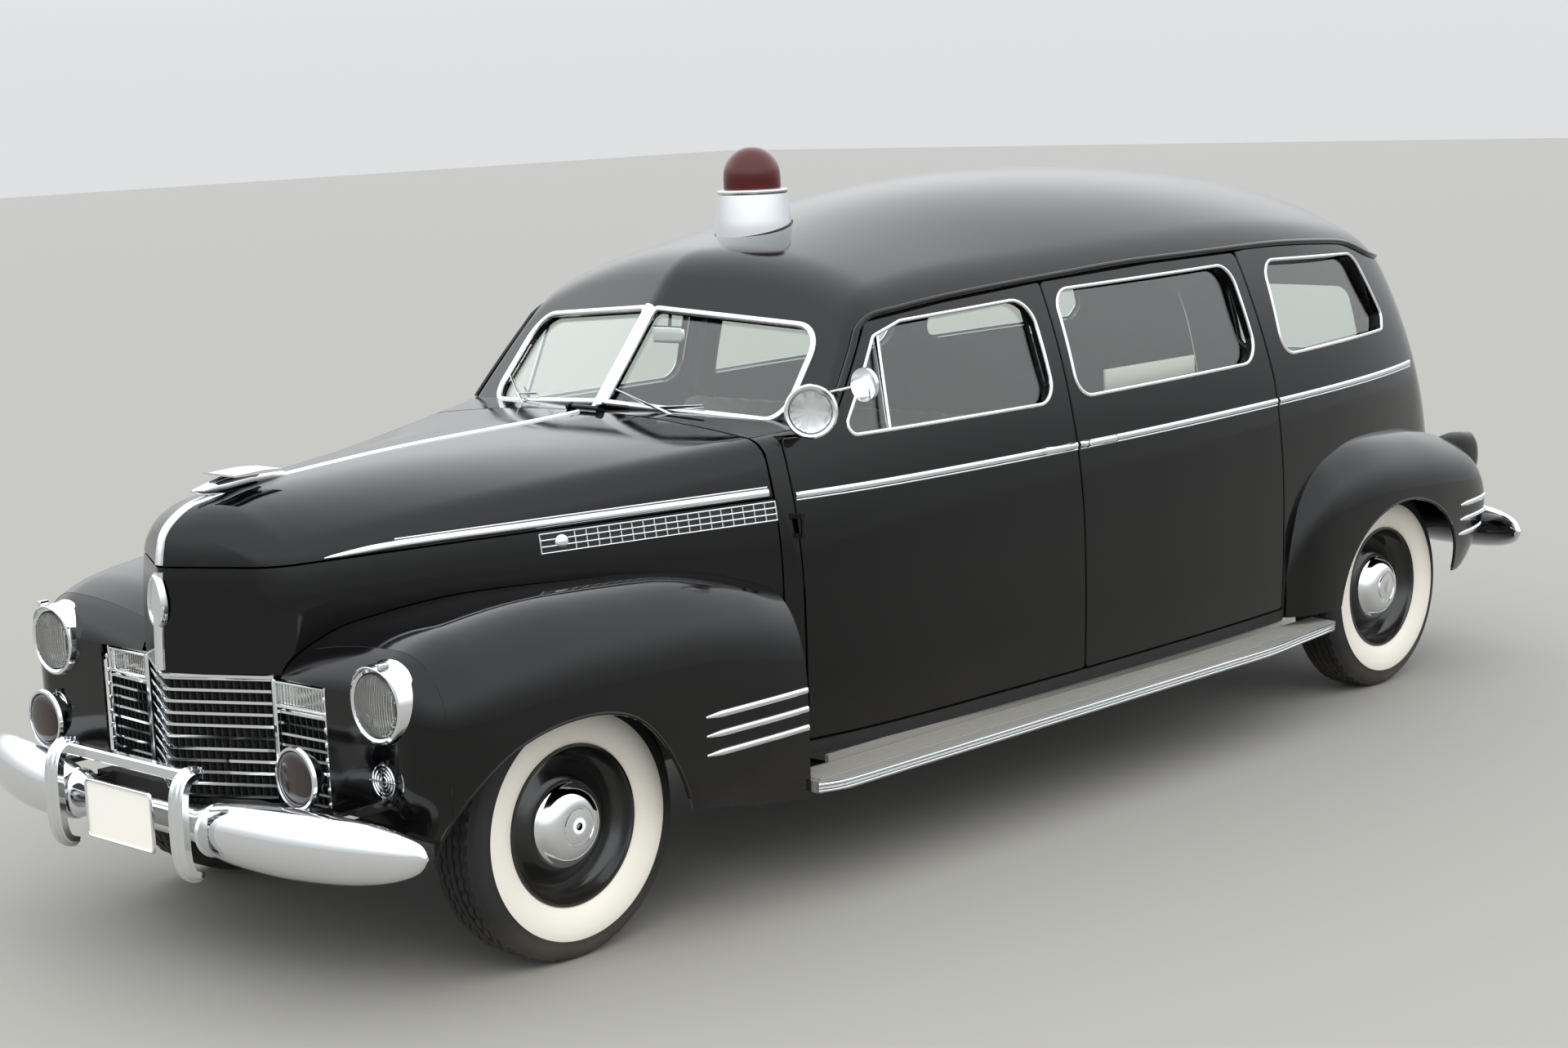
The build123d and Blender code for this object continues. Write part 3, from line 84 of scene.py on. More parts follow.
def dust_low(tree, top, bottom, amount):
    """A dust share that grows from one height down to another, broken up by noise."""
    place = add(tree, "ShaderNodeTexCoord")
    split = add(tree, "ShaderNodeSeparateXYZ", {"Vector": place.outputs["Object"]})
    fade = add(tree, "ShaderNodeMapRange", {"Value": split.outputs["Z"]})
    for key, value in (("From Min", top), ("From Max", bottom), ("To Min", 0.0), ("To Max", amount)):
        fade.inputs[key].default_value = value
    mixed = add(tree, "ShaderNodeMath", {0: fade.outputs["Result"], 1: speckle(tree, 6.0, 0.35, 1.0)},
                operation="MULTIPLY")
    return mixed.outputs["Value"]


def material(name, colour, rough=0.4, metal=0.0, ior=1.5, coat=0.0, vary=None, grain=None, dust=None,
             **inputs):
    """A surface: base colour, gloss, and its wear as roughness spots, fine bump and low dust."""
    made = bpy.data.materials.new(name)
    made.use_nodes = True
    tree = made.node_tree
    shader = tree.nodes["Principled BSDF"]
    shader.inputs["Base Color"].default_value = linear(colour)
    shader.inputs["Roughness"].default_value = rough
    shader.inputs["Metallic"].default_value = metal
    shader.inputs["IOR"].default_value = ior
    shader.inputs["Coat Weight"].default_value = coat
    shader.inputs["Coat Roughness"].default_value = 0.02
    for key, value in inputs.items():
        shader.inputs[key.replace("_", " ")].default_value = value
    if vary:
        scale, low, high = vary
        tree.links.new(speckle(tree, scale, low, high), shader.inputs["Roughness"])
    if grain:
        scale, height = grain
        bump = add(tree, "ShaderNodeBump", {"Height": speckle(tree, scale, 0.0, 1.0)}, Strength=0.5,
                   Distance=height)
        tree.links.new(bump.outputs["Normal"], shader.inputs["Normal"])
    if dust:
        top, bottom, amount, dust_colour = dust
        share = dust_low(tree, top, bottom, amount)
        mix = add(tree, "ShaderNodeMix", {0: share}, data_type="RGBA")
        mix.inputs[6].default_value = linear(colour)
        mix.inputs[7].default_value = linear(dust_colour)
        tree.links.new(mix.outputs[2], shader.inputs["Base Color"])
    return made


# Nitrocellulose lacquer, polished: deep black with sharp reflections and a film of road dust low down
black_paint = material("black_lacquer", "#030304", rough=0.09, ior=1.37, coat=0.05, vary=(3.0, 0.05, 0.13),
                       dust=(0.62, 0.25, 0.05, "#8a8378"))
# Air-dried enamel on pressed steel wheels: black, a little softer than the body
wheel_paint = material("wheel_enamel", "#0a0a0b", rough=0.22, coat=0.3, dust=(0.3, 0.02, 0.1, "#8a8378"))
# Chassis black, brushed on, with grime: nearly matt
frame_paint = material("chassis_black", "#141413", rough=0.6, vary=(14.0, 0.5, 0.75))
# Nickel-chrome plating: mirror bright with faint haze
chrome = material("chrome_plate", "#e2e4e6", rough=0.07, metal=1.0, vary=(9.0, 0.04, 0.12))
# Silvered lamp reflector
reflector = material("silvered_reflector", "#e6e7e4", rough=0.07, metal=1.0)
# Stainless steel, rolled: a little greyer than chrome
stainless = material("stainless_strip", "#c4c6c8", rough=0.16, metal=1.0, vary=(20.0, 0.12, 0.22))
# Grey cast iron, machined nowhere that shows
cast_iron = material("cast_iron", "#3a3a38", rough=0.7, metal=0.4, grain=(300.0, 0.0006))
# Mild steel pipe with heat scale
pipe_steel = material("pipe_steel", "#4a4038", rough=0.6, metal=0.6, vary=(25.0, 0.45, 0.75))
# Laminated window glass: clear with a faint green body
glass = material("window_glass", "#f2f7f4", rough=0.0, ior=1.5, Transmission_Weight=1.0)
# Pressed lens glass, clear
lens_glass = material("lens_glass", "#fbfcfa", rough=0.01, ior=1.45, Transmission_Weight=0.98)
# Ruby glass of the roof beacon and tail lamps: very dark when unlit
ruby_glass = material("ruby_glass", "#420306", rough=0.06, ior=1.45)
# Smoked glass of the auxiliary lamps, a dark red-brown
smoked_glass = material("smoked_glass", "#1c0a0b", rough=0.08, ior=1.5, coat=0.5)
# Natural rubber tread, vulcanised: dark grey and matt with road dust
tyre_rubber = material("tyre_rubber", "#1b1b1b", rough=0.78, grain=(500.0, 0.0004),
                       dust=(0.2, 0.0, 0.35, "#7b7468"))
# White rubber sidewall band, washed
white_rubber = material("white_rubber", "#d9d6cc", rough=0.6, vary=(18.0, 0.5, 0.7))
# Black rubber of the beacon's foot, and painted shade: a dark matt ground behind the louvres that stands in
# for the shade in their openings
dark_rubber_and_painted_shade = material("dark_rubber_and_painted_shade", "#121212", rough=0.6)
# Ribbed step rubber, scuffed pale
step_rubber = material("step_rubber", "#7d7c78", rough=0.62, vary=(10.0, 0.5, 0.75), grain=(140.0, 0.0006))
# Plastic of the steering wheel's rim, browned with age
ivory = material("ivory_plastic", "#3a352c", rough=0.35, coat=0.3)
# Leathercloth of the bench: dark grey-brown with a fine grain
leather = material("leather_cloth", "#4c443b", rough=0.55, grain=(420.0, 0.0005))
# Painted inner steel and trim board
trim_board = material("trim_board", "#2a2826", rough=0.7)
# White enamel on the blank sign and plates
white_enamel = material("white_enamel", "#e6e4dc", rough=0.3, coat=0.3)

FINISH = {
    "black_paint": black_paint, "wheel_paint": wheel_paint, "frame_paint": frame_paint,
    "cast_iron": cast_iron, "pipe_steel": pipe_steel, "glass": glass, "red_glass": ruby_glass,
    "chrome": chrome, "tyre": tyre_rubber, "leather": leather, "ivory_plastic": ivory,
    "step_rubber": step_rubber,
}
for part in frame["record"]["subparts"]:
    shown = frame["nodes"][part["node"]]
    shown.data.materials.clear()
    shown.data.materials.append(FINISH[part["material_slot"]])
    shown.data.polygons.foreach_set("material_index", [0] * len(shown.data.polygons))

# Mesh helpers

# Edges sharper than this stay crisp, and points nearer than this are one point
SOFT_EDGE = math.radians(38)
SAME_PLACE = 0.00002


def piece(name, vertices, faces, finish, body, replaced=(), slot=None, sharp=SOFT_EDGE):
    """A finished mesh piece riding on a body, with its faces pointing outwards."""
    mesh = bpy.data.meshes.new(name)
    mesh.from_pydata([tuple(map(float, v)) for v in vertices], [], [tuple(map(int, f)) for f in faces])
    made = bpy.data.objects.new(name, mesh)
    scene.collection.objects.link(made)
    work = bmesh.new()
    work.from_mesh(mesh)
    bmesh.ops.remove_doubles(work, verts=work.verts, dist=SAME_PLACE)
    bmesh.ops.recalc_face_normals(work, faces=work.faces)
    work.to_mesh(mesh)
    work.free()
    finishes = finish if isinstance(finish, (list, tuple)) else [finish]
    for one in finishes:
        mesh.materials.append(one)
    mesh.polygons.foreach_set("use_smooth", [True] * len(mesh.polygons))
    mesh.set_sharp_from_angle(angle=sharp)
    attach(made, body)
    if replaced:
        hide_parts(*replaced)
    return made


def joined(parts):
    """Several (vertices, faces) lists as one."""
    vertices, faces = [], []
    for some, those in parts:
        start = len(vertices)
        vertices.extend(some)
        faces.extend([tuple(i + start for i in f) for f in those])
    return vertices, faces


def mirrored(part):
    """A (vertices, faces) pair on the other side of the car."""
    return [(-v[0], v[1], v[2]) for v in part[0]], [tuple(reversed(f)) for f in part[1]]


def both(part):
    """A left part with its right one."""
    return joined([part, mirrored(part)])


def tube(rings, loop=False):
    """Faces between rings of equally many points; the ends are capped, or meet in a loop."""
    count = len(rings[0])
    vertices = [p for ring in rings for p in ring]
    faces = []
    spans = len(rings) if loop else len(rings) - 1
    for i in range(spans):
        a, b = i * count, (i + 1) % len(rings) * count
        for j in range(count):
            k = (j + 1) % count
            faces.append((a + j, a + k, b + k, b + j))
    if not loop:
        faces.append(tuple(reversed(range(count))))
        faces.append(tuple(range((len(rings) - 1) * count, len(rings) * count)))
    return vertices, faces


def unit(v):
    v = np.asarray(v, float)
    return v / max(np.linalg.norm(v), 1e-12)


def frames(path, ups, loop=False):
    """Tangent, side and up directions along a path."""
    path = np.asarray(path, float)
    found = []
    for i in range(len(path)):
        before = path[i - 1] if (i or loop) else path[i]
        after = path[(i + 1) % len(path)] if (i + 1 < len(path) or loop) else path[i]
        along = unit(after - before)
        up = np.asarray(ups[i] if np.ndim(ups) == 2 else ups, float)
        up = unit(up - along * up.dot(along))
        found.append((along, unit(np.cross(along, up)), up))
    return path, found


def sweep(path, ups, section, loop=False, scales=None):
    """A section (side, up) carried along a path whose outward direction is ups."""
    path, found = frames(path, ups, loop)
    rings = []
    for i, (along, side, up) in enumerate(found):
        size = scales[i] if scales is not None else 1.0
        rings.append([tuple(path[i] + side * s * size + up * u * size) for s, u in section])
    return tube(rings, loop=loop)


def half_round(width, height, steps=8, foot=0.002):
    """Section of a strip: a low dome with a foot let into the surface."""
    dome = [(width / 2 * math.cos(math.pi * i / steps), height * math.sin(math.pi * i / steps) ** 0.8)
            for i in range(steps + 1)]
    return [(width / 2, -foot)] + dome + [(-width / 2, -foot)]


def full_turn(steps):
    """Angles all round, without the last one that meets the first."""
    return np.linspace(0, 2 * math.pi, steps + 1)[:-1]


def circle(radius, steps=12):
    """A round section."""
    return [(radius * math.cos(2 * math.pi * i / steps), radius * math.sin(2 * math.pi * i / steps))
            for i in range(steps)]


def lathe(profile, origin, axis, steps=64, ref=(0, 0, 1)):
    """A profile of (radius, height) turned about an axis; the ends meet the axis or close on themselves."""
    axis = unit(axis)
    ref = np.asarray(ref, float) if abs(unit(ref).dot(axis)) < 0.9 else np.array((1.0, 0, 0))
    u = unit(ref - axis * ref.dot(axis))
    v = np.cross(axis, u)
    origin = np.asarray(origin, float)
    rings = [[tuple(origin + axis * h + (u * math.cos(2 * math.pi * i / steps)
                                         + v * math.sin(2 * math.pi * i / steps)) * max(r, 0.00001))
              for i in range(steps)] for r, h in profile]
    closed = abs(profile[0][0] - profile[-1][0]) < 1e-9 and abs(profile[0][1] - profile[-1][1]) < 1e-9
    if closed:
        return tube(rings[:-1], loop=True)
    return tube(rings)


def block(low, high, soft=0.0):
    """A box, with its corners cut back by a soft edge in plan when asked."""
    x0, y0, z0 = low
    x1, y1, z1 = high
    if not soft:
        corner = [(x0, y0), (x1, y0), (x1, y1), (x0, y1)]
        return tube([[(x, y, z) for x, y in corner] for z in (z0, z1)])
    rings = []
    for z, cut in ((z0, soft), (z0 + soft * 0.3, soft * 0.3), (z0 + soft, 0), (z1 - soft, 0),
                   (z1 - soft * 0.3, soft * 0.3), (z1, soft)):
        a, b, c, d = x0 + cut, x1 - cut, y0 + cut, y1 - cut
        rings.append([(a + soft, c, z), (b - soft, c, z), (b, c + soft, z), (b, d - soft, z),
                      (b - soft, d, z), (a + soft, d, z), (a, d - soft, z), (a, c + soft, z)])
    return tube(rings)


# Body surface


def cubic(stations, values, natural=True):
    """A smooth curve through values: a natural cubic, or a monotone one that never overshoots."""
    x, v = np.asarray(stations, float), np.asarray(values, float)
    h = np.diff(x)
    slopes = np.diff(v) / h
    if natural:
        n = len(x)
        a = np.zeros((n, n))
        b = np.zeros(n)
        a[0, 0] = a[-1, -1] = 1
        for i in range(1, n - 1):
            a[i, i - 1], a[i, i], a[i, i + 1] = h[i - 1], 2 * (h[i - 1] + h[i]), h[i]
            b[i] = 6 * (slopes[i] - slopes[i - 1])
        m = np.linalg.solve(a, b)
        d = np.append(slopes - h * (2 * m[:-1] + m[1:]) / 6, slopes[-1] + h[-1] * (m[-2] + 2 * m[-1]) / 6)
    else:
        d = np.zeros(len(x))
        for i in range(1, len(x) - 1):
            if slopes[i - 1] * slopes[i] > 0:
                w1, w2 = 2 * h[i] + h[i - 1], h[i] + 2 * h[i - 1]
                d[i] = (w1 + w2) / (w1 / slopes[i - 1] + w2 / slopes[i])
        d[0], d[-1] = slopes[0], slopes[-1]

    def at(q):
        q = np.clip(q, x[0], x[-1])
        i = np.clip(np.searchsorted(x, q) - 1, 0, len(h) - 1)
        t = (q - x[i]) / h[i]
        return ((1 + 2 * t) * (1 - t) ** 2 * v[i] + t * (1 - t) ** 2 * h[i] * d[i]
                + t * t * (3 - 2 * t) * v[i + 1] + t * t * (t - 1) * h[i] * d[i + 1])
    return at


# Sections in mm: y, half width at the sill, widest half width and its height, half width and height of the
# drip line, height of the crown, radius over the drip line, height of the sill
BODY_ROWS = [
    (-1420, 775, 785, 850, 640, 1490, 1560, 90, 385), (-900, 873, 886, 850, 712, 1620, 1700, 110, 385),
    (-500, 898, 912, 850, 742, 1668, 1868, 170, 385), (100, 912, 928, 850, 757, 1703, 1992, 200, 385),
    (800, 914, 930, 850, 760, 1722, 2030, 200, 385), (1450, 886, 904, 850, 744, 1712, 1998, 200, 385),
    (2000, 830, 850, 840, 694, 1668, 1922, 190, 390), (2400, 757, 777, 820, 612, 1585, 1806, 170, 405),
    (2650, 665, 685, 800, 530, 1400, 1640, 150, 420), (2800, 545, 562, 740, 440, 1130, 1330, 130, 440),
    (2880, 425, 440, 680, 350, 900, 1024, 100, 460), (2915, 325, 340, 640, 280, 800, 878, 70, 475),
]
NOSE_ROWS = [
    (-2830, 254, 262, 1000, 244, 1130, 1225, 62, 840), (-2680, 306, 314, 1000, 294, 1150, 1283, 75, 840),
    (-2400, 398, 407, 1000, 384, 1172, 1326, 90, 840), (-1900, 572, 582, 980, 553, 1205, 1358, 105, 840),
    (-1195, 822, 832, 900, 786, 1270, 1382, 90, 840), (-900, 925, 935, 900, 880, 1310, 1405, 80, 840),
]


class Skin:
    """A surface made of cross-sections; a place on it is (y, u), u being the distance from the crown."""

    def __init__(self, rows):
        table = np.array(rows, float) / 1000
        self.columns = [cubic(table[:, 0], table[:, i]) for i in range(1, table.shape[1])]
        self.low, self.high = table[0, 0], table[-1, 0]
        self.cache = {}

    def section(self, y):
        """Points (x, z) from the crown's centre to the sill, with their distance along the curve."""
        key = round(float(np.clip(y, self.low, self.high)), 4)
        if key not in self.cache:
            sill, wide, z_wide, drip, z_drip, z_roof, corner, z_low = [float(c(key)) for c in self.columns]
            rise, tuck = z_drip - z_wide, wide - drip
            lean = 2 * math.atan2(tuck, rise)
            drop = z_drip - z_roof
            spread = drip * drip + drop * drop + 2 * corner * (-drip * math.cos(lean) - drop * math.sin(lean))
            radius = -spread / (2 * (corner + drop - corner * math.sin(lean)))
            cx, cz = drip - corner * math.cos(lean), z_drip - corner * math.sin(lean)
            crown_z = z_roof - radius
            meet = math.atan2(cx, cz - crown_z)
            t = np.linspace(0, meet, 60)
            x, z = [radius * np.sin(t)], [crown_z + radius * np.cos(t)]
            t = np.linspace(math.pi / 2 - meet, lean, 50)[1:]
            x.append(cx + corner * np.cos(t))
            z.append(cz + corner * np.sin(t))
            bend = (rise * rise + tuck * tuck) / (2 * tuck)
            t = np.linspace(lean, 0, 50)[1:]
            x.append(wide - bend + bend * np.cos(t))
            z.append(z_wide + bend * np.sin(t))
            t = np.linspace(0, 1, 30)[1:]
            x.append(wide - (wide - sill) * t * t)
            z.append(z_wide + (z_low - z_wide) * t)
            x, z = np.concatenate(x), np.concatenate(z)
            u = np.concatenate([[0], np.cumsum(np.hypot(np.diff(x), np.diff(z)))])
            self.cache[key] = (x, z, u)
        return self.cache[key]

    def point(self, y, u):
        """The place on the surface; u is negative on the right side."""
        x, z, along = self.section(y)
        far = abs(u)
        return np.array((math.copysign(np.interp(far, along, x), u), y, np.interp(far, along, z)))

    def normal(self, y, u):
        """The outward direction at a place."""
        step = 0.004
        y0, y1 = max(self.low, y - step), min(self.high, y + step)
        along = self.point(y1, u) - self.point(y0, u)
        across = self.point(y, u + step) - self.point(y, u - step)
        return unit(np.cross(across, along))

    def u_at(self, y, z):
        """Distance from the crown at a height on the left side."""
        x, heights, along = self.section(y)
        return float(np.interp(-z, -heights, along))

    def at(self, y, z):
        """The surface point and normal at a side-view place on the left side."""
        u = self.u_at(y, z)
        return self.point(y, u), self.normal(y, u)

    def y_at(self, x, z, low, high):
        """Where the section's half width at a height has shrunk to x, towards the tail."""
        for _ in range(40):
            middle = (low + high) / 2
            points, heights, _ = self.section(middle)
            wide = np.interp(-z, -heights, points) if z <= heights[0] else 0
            low, high = (middle, high) if wide > x else (low, middle)
        return (low + high) / 2


body = Skin(BODY_ROWS)
nose = Skin(NOSE_ROWS)


def inside(points, loop):
    """Which points lie inside a closed loop."""
    points, loop = np.asarray(points, float), np.asarray(loop, float)
    hit = np.zeros(len(points), bool)
    px, py = points[:, 0], points[:, 1]
    for (ax, ay), (bx, by) in zip(loop, np.roll(loop, -1, axis=0)):
        cross = (ay > py) != (by > py)
        with np.errstate(divide="ignore", invalid="ignore"):
            hit ^= cross & (px < (bx - ax) * (py - ay) / (by - ay) + ax)
    return hit


def rounded(points, radii):
    """A closed outline with its corners rounded; radii is one number or one for each corner."""
    points = [np.asarray(p, float) for p in points]
    radii = [radii] * len(points) if np.isscalar(radii) else radii
    made = []
    for i, p in enumerate(points):
        radius = radii[i]
        if radius <= 0:
            made.append(p)
            continue
        a, b = unit(points[i - 1] - p), unit(points[(i + 1) % len(points)] - p)
        angle = math.acos(np.clip(a.dot(b), -1, 1))
        if angle > math.radians(176):
            made.append(p)
            continue
        reach = radius / math.tan(angle / 2)
        centre = p + unit(a + b) * radius / math.sin(angle / 2)
        start, end = p + a * reach - centre, p + b * reach - centre
        turn = math.atan2(start[0] * end[1] - start[1] * end[0], start.dot(end))
        steps = max(3, int(abs(turn) / math.radians(9)))
        for k in range(steps + 1):
            t = turn * k / steps
            made.append(centre + np.array((start[0] * math.cos(t) - start[1] * math.sin(t),
                                           start[0] * math.sin(t) + start[1] * math.cos(t))))
    return made


def resampled(loop, step):
    """A closed loop with points no further apart than a step."""
    made = []
    for a, b in zip(loop, loop[1:] + loop[:1]):
        a, b = np.asarray(a, float), np.asarray(b, float)
        count = max(1, int(math.ceil(np.linalg.norm(b - a) / step)))
        made.extend([a + (b - a) * k / count for k in range(count)])
    return [p for p, q in zip(made, made[-1:] + made[:-1]) if np.linalg.norm(p - q) > 1e-5]


def inset(loop, amount):
    """A closed loop moved to its left side, which is inwards when it runs anticlockwise."""
    pts = np.array(loop)
    before, after = pts - np.roll(pts, 1, axis=0), np.roll(pts, -1, axis=0) - pts
    n1 = np.stack([-before[:, 1], before[:, 0]], 1)
    n2 = np.stack([-after[:, 1], after[:, 0]], 1)
    n1 /= np.linalg.norm(n1, axis=1)[:, None]
    n2 /= np.linalg.norm(n2, axis=1)[:, None]
    mid = n1 + n2
    mid /= np.maximum(np.linalg.norm(mid, axis=1)[:, None], 1e-9)
    scale = amount / np.maximum((mid * n1).sum(1), 0.5)
    return [tuple(p) for p in pts + mid * scale[:, None]]


def area(loop):
    """Signed area of a closed loop; it is positive where the loop runs anticlockwise."""
    p = np.array(loop)
    q = np.roll(p, -1, axis=0)
    return float((p[:, 0] * q[:, 1] - q[:, 0] * p[:, 1]).sum() / 2)


# Radius of a sheet's rolled edge, and the band along it that the inner grid keeps clear of
EDGE_ROUND = 0.0028
EDGE_BAND = 0.018


def panel(surface, outline, holes=(), thick=0.03, grid=0.024, step=0.018):
    """A sheet panel on a surface that gives point(a, b) and normal(a, b).
    Outline and holes are in the surface's own two coordinates; edges are rounded, the wall goes inwards."""
    loops = [resampled([tuple(p) for p in loop], step) for loop in [outline, *holes]]
    loops = [loop if (area(loop) > 0) == (i == 0) else loop[::-1] for i, loop in enumerate(loops)]
    flat, edges, ring_of = [], [], []
    for loop in loops:
        for depth in (0.0, EDGE_ROUND, 3.2 * EDGE_ROUND):
            ring = inset(loop, depth) if depth else loop
            start = len(flat)
            flat.extend([tuple(p) for p in ring])
            ring_of.extend([depth] * len(ring))
            if depth <= EDGE_ROUND:
                edges.extend([(start + k, start + (k + 1) % len(ring)) for k in range(len(ring))])
    low, high = np.min(loops[0], axis=0), np.max(loops[0], axis=0)
    rows = np.arange(low[1], high[1], grid * 0.87)
    inner = np.array([(a + (grid / 2 if k % 2 else 0), b) for k, b in enumerate(rows)
                      for a in np.arange(low[0], high[0], grid)])
    inner = inner[inside(inner, inset(loops[0], EDGE_BAND))]
    for loop in loops[1:]:
        inner = inner[~inside(inner, inset(loop, EDGE_BAND))]
    flat.extend([tuple(p) for p in inner])
    ring_of.extend([1.0] * len(inner))
    points, _, triangles, origin, _, _ = delaunay_2d_cdt([Vector(p) for p in flat], edges, [], 0, 1e-6)
    places = [tuple(p) for p in points]
    depth = [min([ring_of[o] for o in source], default=1.0) for source in origin]
    middle = np.array([np.mean([places[i] for i in t], axis=0) for t in triangles])
    keep = inside(middle, loops[0])
    for loop in loops[1:]:
        keep &= ~inside(middle, loop)
    triangles = [t for t, k in zip(triangles, keep) if k]
    spot = [surface.point(*p) for p in places]
    out = [surface.normal(*p) for p in places]
    top = [s - n * (EDGE_ROUND if d == 0 else 0) for s, n, d in zip(spot, out, depth)]
    under = [s - n * thick for s, n in zip(spot, out)]
    count = len(places)
    faces = [tuple(t) for t in triangles] + [tuple(i + count for i in reversed(t)) for t in triangles]
    border = {}
    for t in triangles:
        for a, b in zip(t, (*t[1:], t[0])):
            border[(a, b)] = border.get((a, b), 0) + 1
    for a, b in border:
        if (b, a) not in border:
            faces.append((b, a, a + count, b + count))
    return top + under, faces


def side_loop(surface, points, radii=0, step=0.02):
    """A side-view outline (y, z) in mm as a loop of the surface's own (y, u)."""
    corners = rounded([(y / 1000, z / 1000) for y, z in points],
                      radii / 1000 if np.isscalar(radii) else [r / 1000 for r in radii])
    return [(y, surface.u_at(y, z)) for y, z in resampled([tuple(p) for p in corners], step)]


# Body panels

# Side-view outlines as (y, z) in mm
DRIP_LINE = [(-690, 1645), (-350, 1676), (125, 1699), (720, 1717), (1300, 1717), (2000, 1686), (2400, 1600),
             (2620, 1585), (3000, 1585)]
drip_z = cubic([y / 1000 for y, _ in DRIP_LINE], [z / 1000 for _, z in DRIP_LINE], natural=False)
FRONT_DOOR = [(-1127, 430), (122, 430), (122, 1693), (-350, 1668), (-700, 1637), (-955, 1332), (-1127, 1332)]
CENTRE_DOOR = [(128, 430), (1297, 430), (1297, 1250), (1235, 1709), (720, 1709), (128, 1693)]
FRONT_WINDOW = [(-915, 1314), (48, 1314), (42, 1650), (-560, 1628), (-688, 1592)]
CENTRE_WINDOW = [(168, 1316), (1215, 1328), (1172, 1672), (172, 1662)]
QUARTER_WINDOW = [(1385, 1332), (2215, 1345), (2245, 1400), (2120, 1640), (1392, 1668)]
# The corners' radii in mm, in the order of the outlines' points
FRONT_CORNERS, CENTRE_CORNERS = [30, 75, 90, 60, 30], [70, 85, 85, 70]
QUARTER_CORNERS = [75, 28, 34, 100, 70]
FRONT_DOOR_CORNERS, CENTRE_DOOR_CORNERS = [14, 14, 14, 60, 40, 30, 14], [14, 14, 60, 34, 60, 14]
SIDES = (("left", 1), ("right", -1))


def both_sides(name, part, finish, bodies, **options):
    """A left piece and its mirror image; names and bodies get the side's word."""
    for word, sign in SIDES:
        nodes = [n.format(word) for n in options.get("nodes", ())]
        piece(name + "_" + word, *(part if sign > 0 else mirrored(part)), finish, bodies.format(word),
              replaced=nodes, slot=options.get("slot"), sharp=options.get("sharp", SOFT_EDGE))


both_sides("front_door_panel",
           panel(body, side_loop(body, FRONT_DOOR, FRONT_DOOR_CORNERS),
                 [side_loop(body, FRONT_WINDOW, FRONT_CORNERS)]),
           black_paint, "front door {}", nodes=["door_front_{}"], slot="black_paint")
both_sides("centre_door_panel",
           panel(body, side_loop(body, CENTRE_DOOR, CENTRE_DOOR_CORNERS),
                 [side_loop(body, CENTRE_WINDOW, CENTRE_CORNERS)]),
           black_paint, "centre door {}", nodes=["door_centre_{}"], slot="black_paint")


def tail_edge(x, heights):
    """Side-view places where the body's half width is x."""
    return [(body.y_at(x, z, 2.2, 2.914), z) for z in heights]


# The quarter panel is open over the rear wheel, which stands at this y and height
REAR_AXLE_Y, AXLE_Z, ARCH_RADIUS = 2.07, 0.38, 0.43
arch_points = [(REAR_AXLE_Y + ARCH_RADIUS * math.cos(a), AXLE_Z + ARCH_RADIUS * math.sin(a))
               for a in np.linspace(math.radians(2), math.radians(178), 60)]
quarter_outline = [(1.303, 0.392), (1.303, 1.25), (1.241, 1.711)]
quarter_outline += [(y, float(drip_z(y)) - 0.003) for y in np.arange(1.3, 2.58, 0.05)]
quarter_outline += tail_edge(0.503, np.arange(1.575, 0.64, -0.03)) + [(2.9145, 0.637), (2.9145, 0.48)]
quarter_outline += [(y, float(body.columns[7](y)) + 0.002)
                    for y in (2.88, 2.8, 2.7, 2.6, 2.52)] + arch_points
quarter_loop = [(y, body.u_at(y, z)) for y, z in resampled(quarter_outline, 0.02)]
quarter_panel = panel(body, quarter_loop, [side_loop(body, QUARTER_WINDOW, QUARTER_CORNERS)])
both_sides("quarter_panel", quarter_panel, black_paint, "car", nodes=["quarter_{}"], slot="black_paint")


class TailSkin:
    """The tail, seen from behind: a place on it is (x, z)."""

    def depth(self, x, z):
        """The y where the body has this half width at this height."""
        return body.y_at(max(abs(x), 0.002), z, 2.2, 2.915)

    def point(self, x, z):
        return np.array((x, self.depth(x, z), z))

    def normal(self, x, z):
        s = 0.012
        across = np.array((2 * s, self.depth(x + s, z) - self.depth(x - s, z), 0))
        rise = np.array((0, self.depth(x, z + s) - self.depth(x, z - s), 2 * s))
        return unit(np.cross(rise, across))


tail = TailSkin()
tail_outline = rounded([(-0.5, 0.64), (0.5, 0.64), (0.5, 1.58), (-0.5, 1.58)], 0.06)
tail_window = rounded([(-0.3, 1.18), (0.3, 1.18), (0.3, 1.47), (-0.3, 1.47)], 0.05)
piece("tail_door_panel", *panel(tail, tail_outline, [tail_window], grid=0.03), black_paint, "tail door",
      replaced=["tail_door"], slot="black_paint")
apron = rounded([(-0.34, 0.476), (0.34, 0.476), (0.5, 0.633), (-0.5, 0.633)], 0.01)
piece("tail_apron", *panel(tail, apron, grid=0.03), black_paint, "car", slot="black_paint")

# The windscreen's two planes: their common foot, and the left plane's outward direction
SCREEN_FOOT = np.array((0, -1.143, 1.385))
SCREEN_NORMAL = unit((0.182, -0.747, 0.640))


def screen_distance(p):
    """How far a place lies ahead of the windscreen's plane on its side."""
    normal = SCREEN_NORMAL * (1 if p[0] >= 0 else -1, 1, 1)
    return float((np.asarray(p) - SCREEN_FOOT).dot(normal))


